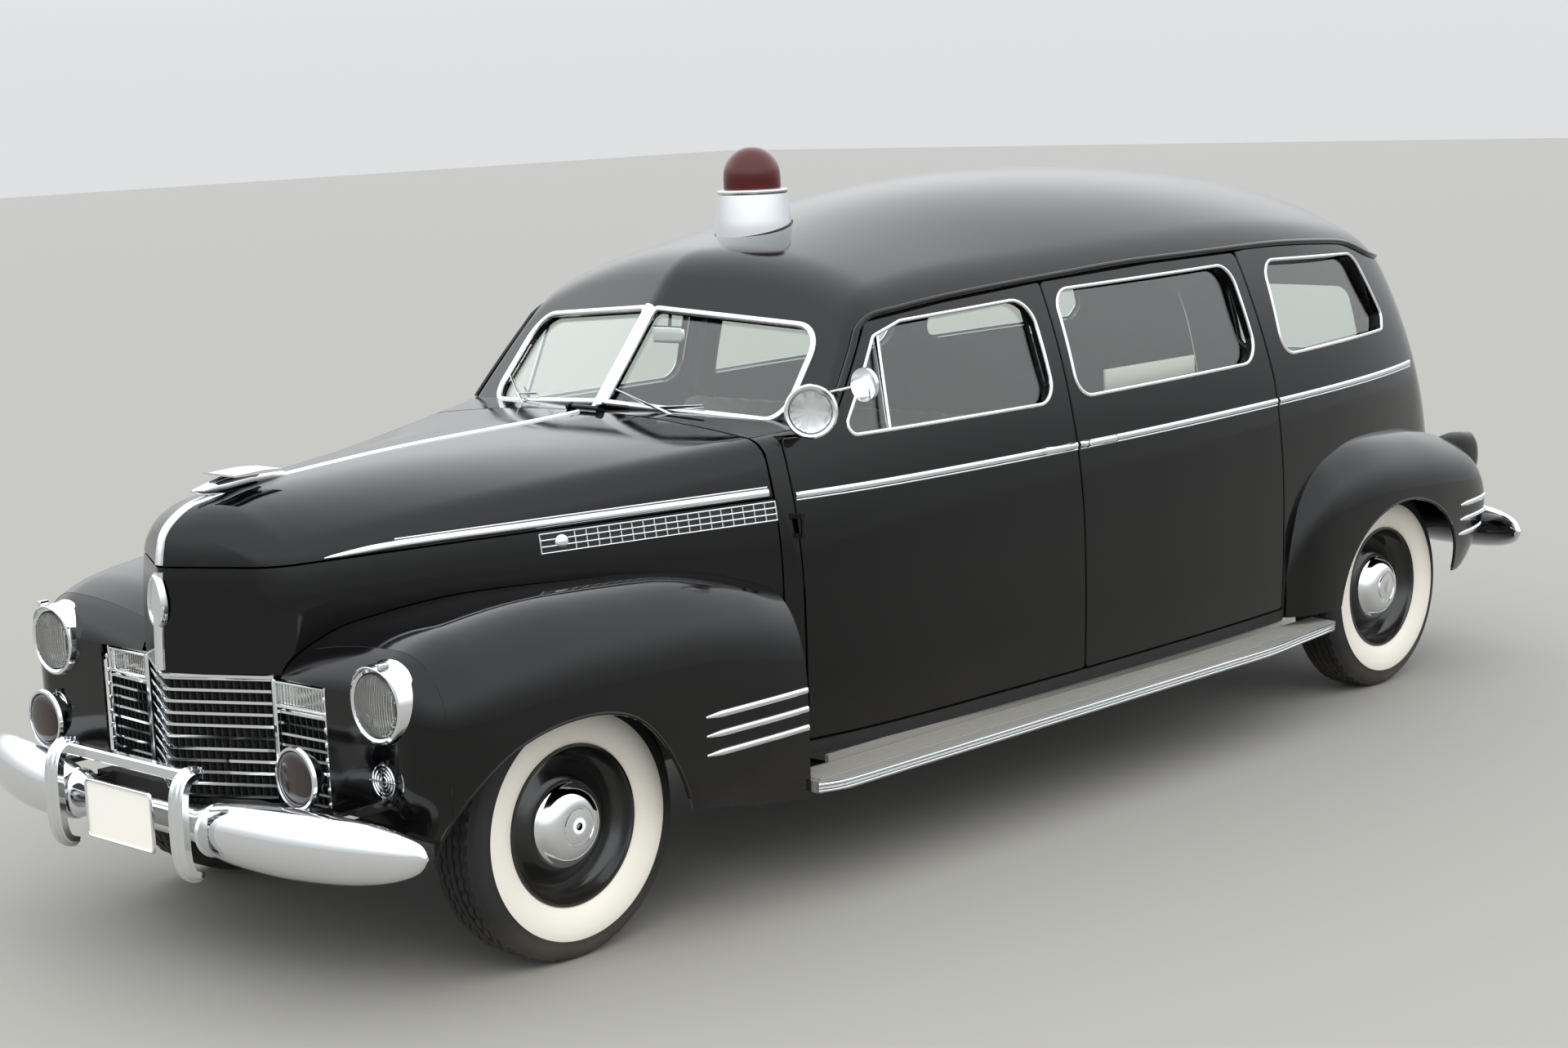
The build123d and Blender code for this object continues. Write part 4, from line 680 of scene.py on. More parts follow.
# The roof's crown stands higher at the front, so that it meets the windscreen's planes in a steep brow
FRONT_CROWN = {-1420: 1640, -900: 1796, -500: 1881}
ROOF_ROWS = [(y, sill, wide, z_wide, drip, z_drip, FRONT_CROWN.get(y, z_roof), corner, low)
             for y, sill, wide, z_wide, drip, z_drip, z_roof, corner, low in BODY_ROWS]
BROW_ROUND = 0.07
SLIDE = unit((0, SCREEN_NORMAL[1], SCREEN_NORMAL[2]))


class RoofSkin(Skin):
    """The roof carried forwards and down over the windscreen's planes, with a soft brow."""

    def point(self, y, u):
        p = super().point(y, u)
        ahead = screen_distance(p)
        if ahead < -BROW_ROUND:
            return p
        soft = max(BROW_ROUND - abs(ahead), 0) / BROW_ROUND
        allowed = min(ahead, 0.0) - soft * soft * BROW_ROUND / 4
        return p - SLIDE * (ahead - allowed) / float(SCREEN_NORMAL.dot(SLIDE))

    def on_screen(self, x, rise):
        """The (y, u) that lands on a place of a windscreen plane."""
        low, high, far = -1.415, -0.45, abs(x)
        for _ in range(36):
            middle = (low + high) / 2
            across, _, along = self.section(middle)
            u = float(np.interp(far, across, along))
            below = self.point(middle, u)[2] < SCREEN_FOOT[2] + rise
            low, high = (middle, high) if below else (low, middle)
        return (middle, math.copysign(u, x))


roof = RoofSkin(ROOF_ROWS)
roof_left = [(y, roof.u_at(y, float(drip_z(y)) + 0.002)) for y in np.arange(-0.66, 2.62, 0.04)]
roof_left += [(y, roof.u_at(y, 1.586)) for y in (2.64, 2.655, 2.668, 2.678, 2.685)
              if roof.section(y)[1][0] > 1.592]
# The windscreen post's back edge in side view, from its foot to the drip line
POST_Y, POST_Z = (-0.962, -0.706), (1.337, 1.644)
post_edge = [(y, roof.u_at(y, z)) for y, z in zip(np.linspace(*POST_Y, 12), np.linspace(*POST_Z, 12))]
screen_base = [roof.on_screen(x, -0.041 - 0.015 * x) for x in np.linspace(0.0, 0.80, 22)]
roof_half = screen_base + post_edge + roof_left
roof_loop = roof_half + [(y, -u) for y, u in reversed(roof_half[1:])]
# The left pane's outline as (x, rise over the foot)
screen_pane = rounded([(0.016, 0.014), (0.665, -0.026), (0.640, 0.238), (0.016, 0.288)],
                      [0.015, 0.055, 0.10, 0.02])
screen_pane = resampled([tuple(p) for p in screen_pane], 0.02)
left_hole = [roof.on_screen(x, rise) for x, rise in screen_pane]
right_hole = [(y, -u) for y, u in left_hole]
piece("roof_panel", *panel(roof, roof_loop, [left_hole, right_hole]), black_paint, "car",
      replaced=["roof", "windscreen_frame"], slot="black_paint")

# Nose and bonnet

# The prow in side view: heights, and the y there
PROW_Z = [0.80, 0.90, 1.08, 1.17, 1.23, 1.27, 1.32]
PROW_Y = [-2.800, -2.797, -2.787, -2.776, -2.757, -2.728, -2.67]
prow_line = cubic(PROW_Z, PROW_Y, natural=False)


def prow_y(x, z):
    """Front face of the nose: a raked prow that is a soft V in plan."""
    away = math.sqrt(x * x + 0.012 ** 2) - 0.012
    return float(prow_line(z)) + 0.5 * away


# Radius of the nose's front edge, the y where it starts, the nose's foot and the mesh's columns
NOSE_ROUND = 0.052
NOSE_EDGE_Y = -2.7
NOSE_FOOT = 0.84
NOSE_COLUMNS = 90


def nose_ring(place, cut=0.0, ahead=None):
    """One line across the nose from the left foot over the top to the right foot, drawn in by a cut.
    It stands at a y, or a distance behind the prow's face where ahead is given."""
    points = []
    for k in range(NOSE_COLUMNS + 1):
        share = 1 - 2 * k / NOSE_COLUMNS
        y = place
        for _ in range(3 if ahead is not None else 1):
            total = nose.section(y)[2][-1]
            p = nose.point(y, share * total)
            if cut:
                p = p - nose.normal(y, share * total) * cut
            if ahead is not None:
                y = prow_y(p[0], p[2]) + ahead
                p[1] = y
        points.append(p)
    return points


nose_rings = [nose_ring(y) for y in np.linspace(-1.2, -2.52, 29)]
front_start = nose_ring(NOSE_EDGE_Y, 0.0, NOSE_ROUND)
nose_rings += [[a + (b - a) * k / 4 for a, b in zip(nose_rings[-1], front_start)] for k in range(1, 5)]
for k in range(1, 11):
    turn = math.pi / 2 * k / 10
    cut, ahead = NOSE_ROUND * (1 - math.cos(turn)), NOSE_ROUND * (1 - math.sin(turn))
    nose_rings.append(nose_ring(NOSE_EDGE_Y, cut, ahead))
front_edge = nose_rings[-1]
for share in np.linspace(1, 0, 12)[1:]:
    places = [(p[0] * share, NOSE_FOOT + (p[2] - NOSE_FOOT) * share) for p in front_edge]
    nose_rings.append([np.array((x, prow_y(x, z), z)) for x, z in places])


def grid_faces(rings):
    """Faces between open lines of equally many points."""
    count = len(rings[0])
    vertices = [tuple(p) for ring in rings for p in ring]
    faces = [(i * count + j, i * count + j + 1, (i + 1) * count + j + 1, (i + 1) * count + j)
             for i in range(len(rings) - 1) for j in range(count - 1)]
    return vertices, faces


# The bonnet's lower edge rises towards the windscreen
TRIM_FRONT_Y, TRIM_FRONT_Z = -2.8, 1.128
TRIM_LENGTH, TRIM_RISE = 1.65, 0.038


def trim_z(y):
    """Height of the bonnet's lower edge."""
    return TRIM_FRONT_Z + (y - TRIM_FRONT_Y) / TRIM_LENGTH * TRIM_RISE


def work_mesh(part, merge=0.0001):
    """A bmesh of a (vertices, faces) pair, with doubled points merged."""
    work = bmesh.new()
    made = [work.verts.new(tuple(map(float, v))) for v in part[0]]
    for f in part[1]:
        corners = [made[i] for i in f]
        if len(set(corners)) > 2:
            work.faces.new(corners)
    bmesh.ops.remove_doubles(work, verts=work.verts, dist=merge)
    bmesh.ops.dissolve_degenerate(work, edges=work.edges, dist=merge)
    bmesh.ops.recalc_face_normals(work, faces=work.faces)
    if all(len(e.link_faces) == 2 for e in work.edges) and work.calc_volume(signed=True) < 0:
        bmesh.ops.reverse_faces(work, faces=work.faces)
    return work


def cut_mesh(work, point, normal):
    """Removes what lies on the normal's side of a plane."""
    parts = list(work.verts) + list(work.edges) + list(work.faces)
    bmesh.ops.bisect_plane(work, geom=parts, plane_co=point, plane_no=normal, clear_outer=True)


def thickened(work, thick, outward):
    """A wall inwards from an open skin whose faces are turned to look outwards at a known place."""
    work.faces.ensure_lookup_table()
    probe = max(work.faces, key=lambda f: f.calc_center_median().dot(Vector(outward)))
    if probe.normal.dot(Vector(outward)) < 0:
        bmesh.ops.reverse_faces(work, faces=work.faces)
    work.normal_update()
    work.verts.index_update()
    outer = [np.array(v.co) for v in work.verts]
    inner = [np.array(v.co - v.normal * thick) for v in work.verts]
    count = len(outer)
    faces = [tuple(v.index for v in f.verts) for f in work.faces]
    rims = [tuple(v.index for v in (e.link_loops[0].link_loop_next.vert, e.link_loops[0].vert))
            for e in work.edges if len(e.link_faces) == 1]
    work.free()
    faces += [tuple(i + count for i in reversed(f)) for f in faces]
    faces += [(i, j, j + count, i + count) for i, j in rims]
    return outer + inner, faces


trim_normal = Vector((0, -TRIM_RISE / TRIM_LENGTH, 1)).normalized()
BONNET_GAP, BONNET_BACK, NOSE_WALL = 0.006, -1.203, 0.014
bonnet_work = work_mesh(grid_faces(nose_rings))
cut_mesh(bonnet_work, (0, TRIM_FRONT_Y, TRIM_FRONT_Z + BONNET_GAP), -trim_normal)
cut_mesh(bonnet_work, (0, BONNET_BACK, 0), (0, 1, 0))
piece("bonnet_panel", *thickened(bonnet_work, NOSE_WALL, (0, -0.3, 1)), black_paint, "bonnet",
      replaced=["bonnet"], slot="black_paint", sharp=math.radians(45))
nose_work = work_mesh(grid_faces(nose_rings))
cut_mesh(nose_work, (0, TRIM_FRONT_Y, TRIM_FRONT_Z), trim_normal)
cut_mesh(nose_work, (0, 0, NOSE_FOOT + 0.001), (0, 0, -1))
piece("nose_panel", *thickened(nose_work, NOSE_WALL, (0, -0.3, 1)), black_paint, "car", replaced=["nose"],
      slot="black_paint", sharp=math.radians(45))

# Wings

# Sections in mm: y, inner x and top, crown x and top, widest x and height, x and height of the lower edge
WING_ROWS = [
    (-2676, 262, 846, 745, 878, 862, 740, 850, 540), (-2655, 268, 852, 750, 905, 905, 735, 895, 505),
    (-2600, 290, 880, 757, 942, 948, 722, 932, 470), (-2450, 340, 950, 770, 995, 985, 705, 968, 440),
    (-2100, 440, 990, 790, 1030, 998, 700, 985, 420), (-1750, 560, 976, 800, 1022, 1000, 690, 990, 380),
    (-1450, 660, 938, 810, 975, 1000, 650, 992, 330), (-1285, 720, 884, 815, 925, 996, 600, 992, 310),
]
REAR_WING_ROWS = [
    (1322, 700, 600, 800, 640, 905, 500, 900, 392), (1400, 700, 780, 800, 830, 960, 640, 950, 392),
    (1560, 690, 900, 790, 950, 988, 700, 980, 396), (1850, 640, 950, 770, 998, 1000, 720, 985, 400),
    (2200, 560, 940, 750, 975, 990, 700, 968, 400), (2480, 500, 890, 735, 922, 965, 680, 912, 390),
    (2640, 470, 845, 715, 878, 935, 650, 885, 450), (2750, 460, 790, 700, 820, 895, 620, 850, 540),
]


def flowing(points, count=44):
    """A smooth curve through the points of an outline."""
    table = np.array(points, float)
    t = np.concatenate([[0], np.cumsum(np.linalg.norm(np.diff(table, axis=0), axis=1))])
    curves = [cubic(t, table[:, i]) for i in (0, 1)]
    return [tuple(float(c(q)) for c in curves) for q in np.linspace(0, t[-1], count)]


FRONT_ARCH = flowing([(-2560, 200), (-2625, 400), (-2560, 545), (-2400, 672), (-2180, 722), (-1960, 680),
                      (-1822, 530), (-1752, 350), (-1742, 200)])
REAR_ARCH = flowing([(1552, 200), (1560, 400), (1620, 560), (1750, 680), (1930, 735), (2120, 722),
                     (2290, 645), (2400, 520), (2448, 370), (2450, 200)])


def wing_surface(rows):
    """A wing's curves, one for each column after y."""
    table = np.array(rows, float) / 1000
    return [cubic(table[:, 0], table[:, i], natural=False) for i in range(1, 9)]


# Exponent of the wing's shoulder, where 2 would be an ellipse
SHOULDER = 2.25


def wing_ring(columns, y, cut=0.0):
    """A wing's line from the inner foot over the crown to the outer foot, drawn in by a cut."""
    inner, z_inner, crown, z_crown, outer, z_outer, low, z_low = [float(c(y)) for c in columns]
    z_inner, z_crown, outer, low = z_inner - cut * 0.6, z_crown - cut, outer - cut, low - cut
    crown -= cut * 0.5
    points = [np.array((inner, y, z)) for z in np.linspace(z_low, z_inner, 8)[:-1]]
    t = np.linspace(0, 1, 26)
    rise = z_crown - z_inner
    points += [np.array((inner + (crown - inner) * k, y, z_crown - rise * (1 - k) ** 2)) for k in t[:-1]]
    a, b = outer - crown, z_crown - z_outer
    for k in np.linspace(0, math.pi / 2, 30)[:-1]:
        x = crown + a * math.sin(k) ** (2 / SHOULDER)
        points.append(np.array((x, y, z_outer + b * math.cos(k) ** (2 / SHOULDER))))
    points += [np.array((outer + (low - outer) * k * k, y, z_outer + (z_low - z_outer) * k))
               for k in np.linspace(0, 1, 16)]
    return points


def wing_shell(columns, end, round_radius, cap_sign, stations, plane=None):
    """A wing as rings from its open end to its rounded, closed end."""
    rings = [wing_ring(columns, y) for y in stations]
    start = end - cap_sign * round_radius
    for k in range(1, 11):
        turn = math.pi / 2 * k / 10
        y = start + cap_sign * round_radius * math.sin(turn)
        rings.append(wing_ring(columns, y, round_radius * (1 - math.cos(turn))))
    last = rings[-1]
    z_foot = last[0][2]
    x_mid = (last[0][0] + last[-1][0]) / 2
    for share in np.linspace(1, 0, 10)[1:]:
        rings.append([np.array((x_mid + (p[0] - x_mid) * share, p[1], z_foot + (p[2] - z_foot) * share))
                      for p in last])
    work = work_mesh(grid_faces(rings))
    if plane:
        cut_mesh(work, *plane)
    return thickened(work, 0.008, (0.3, 0, 1))


def prism(points, x0, x1):
    """A side-view outline in mm as a block across the car."""
    return tube([[(x, y / 1000, z / 1000) for y, z in points] for x in (x0, x1)])


def working_object(name, work):
    """A helper object from a bmesh; it is gone again before anything is finished."""
    mesh = bpy.data.meshes.new(name)
    work.to_mesh(mesh)
    work.free()
    made = bpy.data.objects.new(name, mesh)
    scene.collection.objects.link(made)
    return made


def result_of(shown):
    """What an object's modifiers make of it, as a (vertices, faces) pair; the object is removed."""
    bpy.context.view_layer.update()
    done = bpy.data.meshes.new_from_object(shown.evaluated_get(bpy.context.evaluated_depsgraph_get()))
    result = [tuple(v.co) for v in done.vertices], [tuple(f.vertices) for f in done.polygons]
    bpy.data.objects.remove(shown)
    return result


def carved(part, cutters):
    """A part with closed shapes cut out of it."""
    shown = working_object("carved", work_mesh(part, 0.000001))
    tools = [working_object("cutter", work_mesh(cutter)) for cutter in cutters]
    for tool in tools:
        change = shown.modifiers.new("cut", "BOOLEAN")
        change.operation, change.solver, change.object = "DIFFERENCE", "EXACT", tool
    result = result_of(shown)
    for tool in tools:
        bpy.data.objects.remove(tool)
    return result


# The front wing ends at an upright plane along the nose's side, and is cut away for the grille
NOSE_SIDE = ((0.241, -2.9, 0.0), (-0.944, 0.330, 0.0))
grille_bay = block((0.0, -2.9, 0.1), (0.533, -2.575, 0.836))
inner_foot = block((0.2, -2.9, 0.1), (0.6, -1.3, 0.5))
ARCH_FROM, ARCH_TO = 0.42, 1.2
front_columns, rear_columns = wing_surface(WING_ROWS), wing_surface(REAR_WING_ROWS)
front_stations = list(np.linspace(-1.285, -2.45, 34)) + list(np.linspace(-2.47, -2.58, 6))
front_wing = wing_shell(front_columns, -2.652, 0.085, -1, front_stations, NOSE_SIDE)
front_wing = carved(front_wing, [prism(FRONT_ARCH, ARCH_FROM, ARCH_TO), grille_bay, inner_foot])
both_sides("front_wing_panel", front_wing, black_paint, "car", nodes=["front_wing_{}"], slot="black_paint")
rear_wing = wing_shell(rear_columns, 2.755, 0.065, 1, np.linspace(1.322, 2.68, 38))
rear_wing = carved(rear_wing, [prism(REAR_ARCH, ARCH_FROM, ARCH_TO)])
both_sides("rear_wing_panel", rear_wing, black_paint, "car", nodes=["rear_wing_{}"], slot="black_paint")

# Trim on the surfaces


def strip(surface, points, width, height, taper=0.0, drop=0.0, step=0.02):
    """A domed strip along side-view places (y, z) of a surface; taper narrows its first end to a point."""
    line = cubic([p[0] for p in points], [p[1] for p in points], natural=False)
    ys = np.linspace(points[0][0], points[-1][0], max(3, int(abs(points[-1][0] - points[0][0]) / step)))
    spots = [surface.at(y, float(line(y)) - drop) for y in ys]
    scales = None
    if taper:
        scales = [min(1.0, 0.12 + ((y - ys[0]) / taper) ** 0.55) if y - ys[0] < taper else 1.0 for y in ys]
    return sweep([p for p, _ in spots], [n for _, n in spots], half_round(width, height), scales=scales)


def ring_strip(surface, loop, width, height):
    """A domed strip round a closed loop of the surface's own coordinates."""
    loop = resampled([tuple(p) for p in loop], 0.015)
    return sweep([surface.point(*p) for p in loop], [surface.normal(*p) for p in loop],
                 half_round(width, height, 6), loop=True)


# The belt moulding's line in side view, and the height of the door levers on it
HANDLE_Z = 1.167
BELT = [(-1.2, 1.166), (-0.5, 1.166), (0.125, 1.168), (1.3, 1.18), (2.47, 1.193)]


def belt(y0, y1):
    """The belt moulding's wide and narrow strips between two places."""
    line = cubic([p[0] for p in BELT], [p[1] for p in BELT], natural=False)
    points = [(y, float(line(y))) for y in np.linspace(y0, y1, 6)]
    return joined([strip(body, points, 0.019, 0.008), strip(body, points, 0.006, 0.004, drop=0.0145)])


for name, carrier, y0, y1 in (("belt_front_door", "front door {}", -1.122, 0.118),
                              ("belt_centre_door", "centre door {}", 0.132, 1.292),
                              ("belt_quarter", "car", 1.308, 2.46)):
    both_sides(name, belt(y0, y1), chrome, carrier, slot="chrome")


def lever(y0, y1):
    """A flat door lever: a foot on the moulding and a bar that swells towards its free end."""
    rings = []
    for t in np.linspace(0, 1, 16):
        y = y0 + (y1 - y0) * t
        spot, out = body.at(y, HANDLE_Z)
        lift = 0.008 + 0.020 * min(1.0, t * 5, (1 - t) * 9 + 0.25)
        high = 0.0085 + 0.003 * t
        middle = spot + out * lift
        rings.append([tuple(middle + out * 0.0055 * math.cos(a) + np.array((0, 0, high)) * math.sin(a))
                      for a in full_turn(12)])
    foot_profile = [(0.0, -0.002), (0.014, -0.002), (0.013, 0.006), (0.009, 0.024), (0.0, 0.026)]
    foot = lathe(foot_profile, *body.at(y0 + (y1 - y0) * 0.12, HANDLE_Z), 20)
    return joined([tube(rings), foot])


both_sides("front_door_handle", lever(0.105, -0.055), chrome, "front door {}", slot="chrome")
both_sides("centre_door_handle", lever(0.145, 0.31), chrome, "centre door {}", slot="chrome")
for name, window, corners, carrier in (("front", FRONT_WINDOW, FRONT_CORNERS, "front door {}"),
                                       ("centre", CENTRE_WINDOW, CENTRE_CORNERS, "centre door {}"),
                                       ("quarter", QUARTER_WINDOW, QUARTER_CORNERS, "car")):
    window_frame = ring_strip(body, side_loop(body, window, corners), 0.013, 0.006)
    both_sides(name + "_window_frame", window_frame, chrome, carrier, slot="chrome")

# Vent-window post, from the sill of the window to its sloping top
vent_low, vent_out = body.at(-0.715, 1.316)
vent_high = body.at(-0.663, 1.596)[0]
vent_post = sweep([vent_low - vent_out * 0.012, vent_high - vent_out * 0.012], vent_out,
                  half_round(0.014, 0.012))
both_sides("vent_post", vent_post, chrome, "front door {}", slot="chrome")

# Rain gutter along the windscreen post and the drip line
gutter_line = [(y, float(np.interp(y, POST_Y, POST_Z)) + 0.012) for y in np.linspace(-0.955, -0.735, 7)]
gutter_line += [(y, float(drip_z(y)) + 0.006) for y in np.linspace(-0.66, 2.52, 30)]
gutter = strip(body, gutter_line, 0.021, 0.014, step=0.015)
both_sides("rain_gutter", gutter, black_paint, "car", slot="black_paint")

# Header rail inside the drip line, which closes the gap over the doors
rail_spots = [body.at(y, float(drip_z(y)) + 0.006) for y in np.linspace(-0.66, 2.45, 40)]
header_rail = sweep([p - n * 0.052 for p, n in rail_spots], [n for _, n in rail_spots],
                    [(0.030, -0.005), (0.030, 0.005), (-0.030, 0.005), (-0.030, -0.005)])
both_sides("header_rail", header_rail, trim_board, "car")

# Spear on the bonnet's lower edge
spear_line = [(-2.495, trim_z(-2.495) + 0.010), (-2.3, trim_z(-2.3) + 0.019), (-1.9, trim_z(-1.9) + 0.020),
              (-1.215, trim_z(-1.215) + 0.020)]
spear_strips = [strip(nose, spear_line, 0.024, 0.010, taper=0.16),
                strip(nose, spear_line[1:], 0.005, 0.004, drop=-0.0155)]
both_sides("bonnet_spear", joined(spear_strips), chrome, "bonnet", slot="chrome")

# Louvre panel on the nose's side under the spear: four long bars, short ribs and a round boss
LOUVRE_FRONT, LOUVRE_BACK = -1.905, -1.2
LOUVRE_BOSS_Y, LOUVRE_MIDDLE = -1.845, 0.035
louvre_parts = []
for drop in (0.008, 0.026, 0.044, 0.062):
    bar_ends = [(y, trim_z(y) - drop) for y in (LOUVRE_FRONT, LOUVRE_BACK)]
    louvre_parts.append(strip(nose, bar_ends, 0.0065, 0.0075))
for y in np.linspace(LOUVRE_FRONT, LOUVRE_BACK, 22):
    if -0.035 < y - LOUVRE_BOSS_Y < 0.035:
        continue
    spots = [nose.at(y, trim_z(y) - drop) for drop in (0.006, LOUVRE_MIDDLE, 0.064)]
    louvre_parts.append(sweep([p for p, _ in spots], [n for _, n in spots], half_round(0.0055, 0.0055, 4)))
boss_profile = [(0.0, 0.0), (0.021, 0.0), (0.020, 0.006), (0.014, 0.010), (0.0, 0.011)]
louvre_parts.append(lathe(boss_profile, *nose.at(LOUVRE_BOSS_Y, trim_z(LOUVRE_BOSS_Y) - LOUVRE_MIDDLE), 28))
both_sides("louvre_bars", joined(louvre_parts), chrome, "car", slot="chrome")
# A dark matt strip under the louvre bars: painted shade where their openings would be
back_ends = [(y, trim_z(y) - LOUVRE_MIDDLE) for y in (LOUVRE_FRONT + 0.003, LOUVRE_BACK - 0.003)]
both_sides("louvre_painted_shade", strip(nose, back_ends, 0.056, 0.0015), dark_rubber_and_painted_shade, "car")

# Chrome strip down the prow, a blank medallion on it, and the strip along the bonnet to an abstract ornament
prow_path = [(0, prow_y(0, z) + 0.001, z) for z in np.linspace(0.85, 1.118, 20)]
piece("prow_strip", *sweep(prow_path, (0, -1, 0.05), half_round(0.030, 0.018)), chrome, "car",
      slot="chrome")
centre_line = [ring[NOSE_COLUMNS // 2] for ring in nose_rings if ring[0][1] < -2.4]
prow_high = [p for p in centre_line if p[2] > 1.137]
prow_ups = [unit((0, step[2], -step[1])) for step in np.gradient(np.array(prow_high), axis=0)]
piece("prow_strip_upper", *sweep(prow_high, prow_ups, half_round(0.030, 0.010)), chrome, "bonnet",
      slot="chrome")
SHIELD_Y, SHIELD_Z = -2.786, 1.04
shield = [(0.034 * math.sin(a) * (1 - 0.25 * math.cos(a)), SHIELD_Z + 0.076 * math.cos(a))
          for a in full_turn(32)]
shield_rings = [[(x * k, SHIELD_Y - lift, SHIELD_Z + (z - SHIELD_Z) * k) for x, z in shield] for k, lift in
                ((1.0, 0.0), (1.0, 0.014), (0.93, 0.021), (0.8, 0.022), (0.72, 0.017), (0.05, 0.021))]
piece("medallion", *tube(shield_rings), chrome, "car", slot="chrome")


def bonnet_top(y):
    """The bonnet's crown."""
    return nose.point(y, 0.0)


strip_path = [bonnet_top(y) - np.array((0, 0, 0.001)) for y in np.linspace(-2.36, -1.225, 40)]
piece("bonnet_strip", *sweep(strip_path, (0, 0, 1), half_round(0.016, 0.008)), chrome, "bonnet",
      slot="chrome")

# The ornament: a body as ovals of y, half width, low and high point over the bonnet, and two swept fins
ornament = []
for y, wide, low, high in ((-2.66, 0.004, 0.030, 0.036), (-2.63, 0.016, 0.018, 0.044),
                           (-2.56, 0.026, 0.004, 0.056), (-2.48, 0.024, 0.0, 0.055),
                           (-2.40, 0.016, 0.0, 0.04), (-2.33, 0.006, 0.0, 0.016)):
    base = bonnet_top(max(y, -2.6))[2] - 0.012
    ornament.append([(wide * math.cos(a), y, base + (low + high) / 2 + (high - low) / 2 * math.sin(a))
                     for a in full_turn(16)])
fin_section = ((-2.60, 0.0), (-2.60, 0.006), (-2.50, 0.01), (-2.44, 0.006), (-2.44, 0.0))
side_fin = tube([[(x, y + 0.45 * x, 1.362 - 0.1 * x + rise) for y, rise in fin_section]
                 for x in np.linspace(0.0, 0.075, 5)])
piece("bonnet_ornament", *joined([tube(ornament), both(side_fin)]), chrome, "bonnet", slot="chrome")

# Windscreen trim


def screen_point(x, rise, lift=0.0):
    """A place on the outer face of a windscreen half, lifted off it."""
    normal = SCREEN_NORMAL * (1 if x >= 0 else -1, 1, 1)
    y = SCREEN_FOOT[1] - (normal[0] * x + normal[2] * rise) / normal[1]
    return np.array((x, y, SCREEN_FOOT[2] + rise)) + normal * lift


screen_path = [screen_point(x, rise, 0.001) for x, rise in screen_pane]
screen_trim = sweep(screen_path, SCREEN_NORMAL, half_round(0.022, 0.011), loop=True)
piece("windscreen_trim", *both(screen_trim), chrome, "car", slot="chrome")
bar_path = [screen_point(0, r, 0.004) for r in np.linspace(-0.005, 0.293, 12)]
bar_up = unit(SCREEN_NORMAL * (0, 1, 1))
piece("windscreen_bar", *sweep(bar_path, bar_up, half_round(0.034, 0.016)), chrome, "car", slot="chrome")
foot_band = [screen_point(x, -0.022 - 0.061 * x, 0.004) for x in np.linspace(0.0, 0.66, 20)]
foot_trim = sweep(foot_band, SCREEN_NORMAL, half_round(0.046, 0.010))
piece("windscreen_foot_band", *both(foot_trim), stainless, "car", slot="chrome")

# Wipers: a pivot under each pane, an arm and a blade lying on the glass
pivot_profile = [(0.0, -0.02), (0.016, -0.02), (0.015, 0.0), (0.010, 0.012), (0.0, 0.014)]
wiper_parts = []
for pivot_x, tip_x, sway in ((0.40, 0.05, 1), (-0.36, -0.60, -1)):
    normal = SCREEN_NORMAL * (sway, 1, 1)
    pivot, tip = screen_point(pivot_x, -0.055, 0.012), screen_point(tip_x, 0.042, 0.016)
    middle = (pivot + tip) / 2
    heel = screen_point(middle[0] + (middle[0] - tip[0]) * 0.9, 0.012 - 0.02 * abs(pivot_x), 0.014)
    wiper_parts += [
        lathe(pivot_profile, pivot, normal, 24),
        sweep([pivot + normal * 0.006, middle + normal * 0.012], normal, half_round(0.009, 0.005, 5)),
        sweep([heel, middle + normal * 0.004, tip], normal, half_round(0.006, 0.010, 5))]
piece("wipers", *joined(wiper_parts), stainless, "car", slot="chrome")

# Wing trim

# Where a wing's line passes its crown: its first points are on the inner side
CROWN_POINT = 33


def wing_side(columns, y, z):
    """The place on a wing's outer side at a height, and the outward direction there."""
    def reach(q, h):
        outer = np.array(wing_ring(columns, q)[CROWN_POINT:])
        return float(np.interp(-h, -outer[:, 2], outer[:, 0]))

    slope_y = (reach(y + 0.01, z) - reach(y - 0.01, z)) / 0.02
    slope_z = (reach(y, z + 0.01) - reach(y, z - 0.01)) / 0.02
    return np.array((reach(y, z), y, z)), unit((1, -slope_y, -slope_z))


def wing_strips(columns, y0, y1, heights, width=0.02):
    """Speed strips one over the other on a wing's side, narrower at their ends."""
    parts = []
    for z in heights:
        spots = [wing_side(columns, y, z) for y in np.linspace(y0, y1, 22)]
        ends = [min(1.0, 0.3 + 12 * min(abs(p[1] - y0), 10)) for p, _ in spots]
        parts.append(sweep([p for p, _ in spots], [n for _, n in spots], half_round(width, 0.009),
                           scales=ends))
    return joined(parts)


front_strips = wing_strips(front_columns, -1.705, -1.292, (0.632, 0.577, 0.522))
both_sides("front_wing_strips", front_strips, chrome, "car", slot="chrome")
rear_strips = wing_strips(rear_columns, 2.42, 2.69, (0.655, 0.597, 0.539))
both_sides("rear_wing_strips", rear_strips, chrome, "car", slot="chrome")


def arch_bead(columns, points, radius=0.006):
    """A rolled lip round a wheel arch."""
    loop = rounded([(y / 1000, z / 1000) for y, z in points], 0.06)
    loop = [p for p in resampled([tuple(q) for q in loop], 0.02) if p[1] > 0.40]
    spots = [wing_side(columns, y, z) for y, z in loop]
    middle_y = float(np.mean([y for y, _ in loop]))
    spots.sort(key=lambda s: -math.atan2(s[0][2] - AXLE_Z, s[0][1] - middle_y))
    return sweep([p - n * 0.004 for p, n in spots], [n for _, n in spots], circle(radius, 8))


both_sides("front_arch_lip", arch_bead(front_columns, FRONT_ARCH), black_paint, "car", slot="black_paint")
both_sides("rear_arch_lip", arch_bead(rear_columns, REAR_ARCH), black_paint, "car", slot="black_paint")

# Wheels

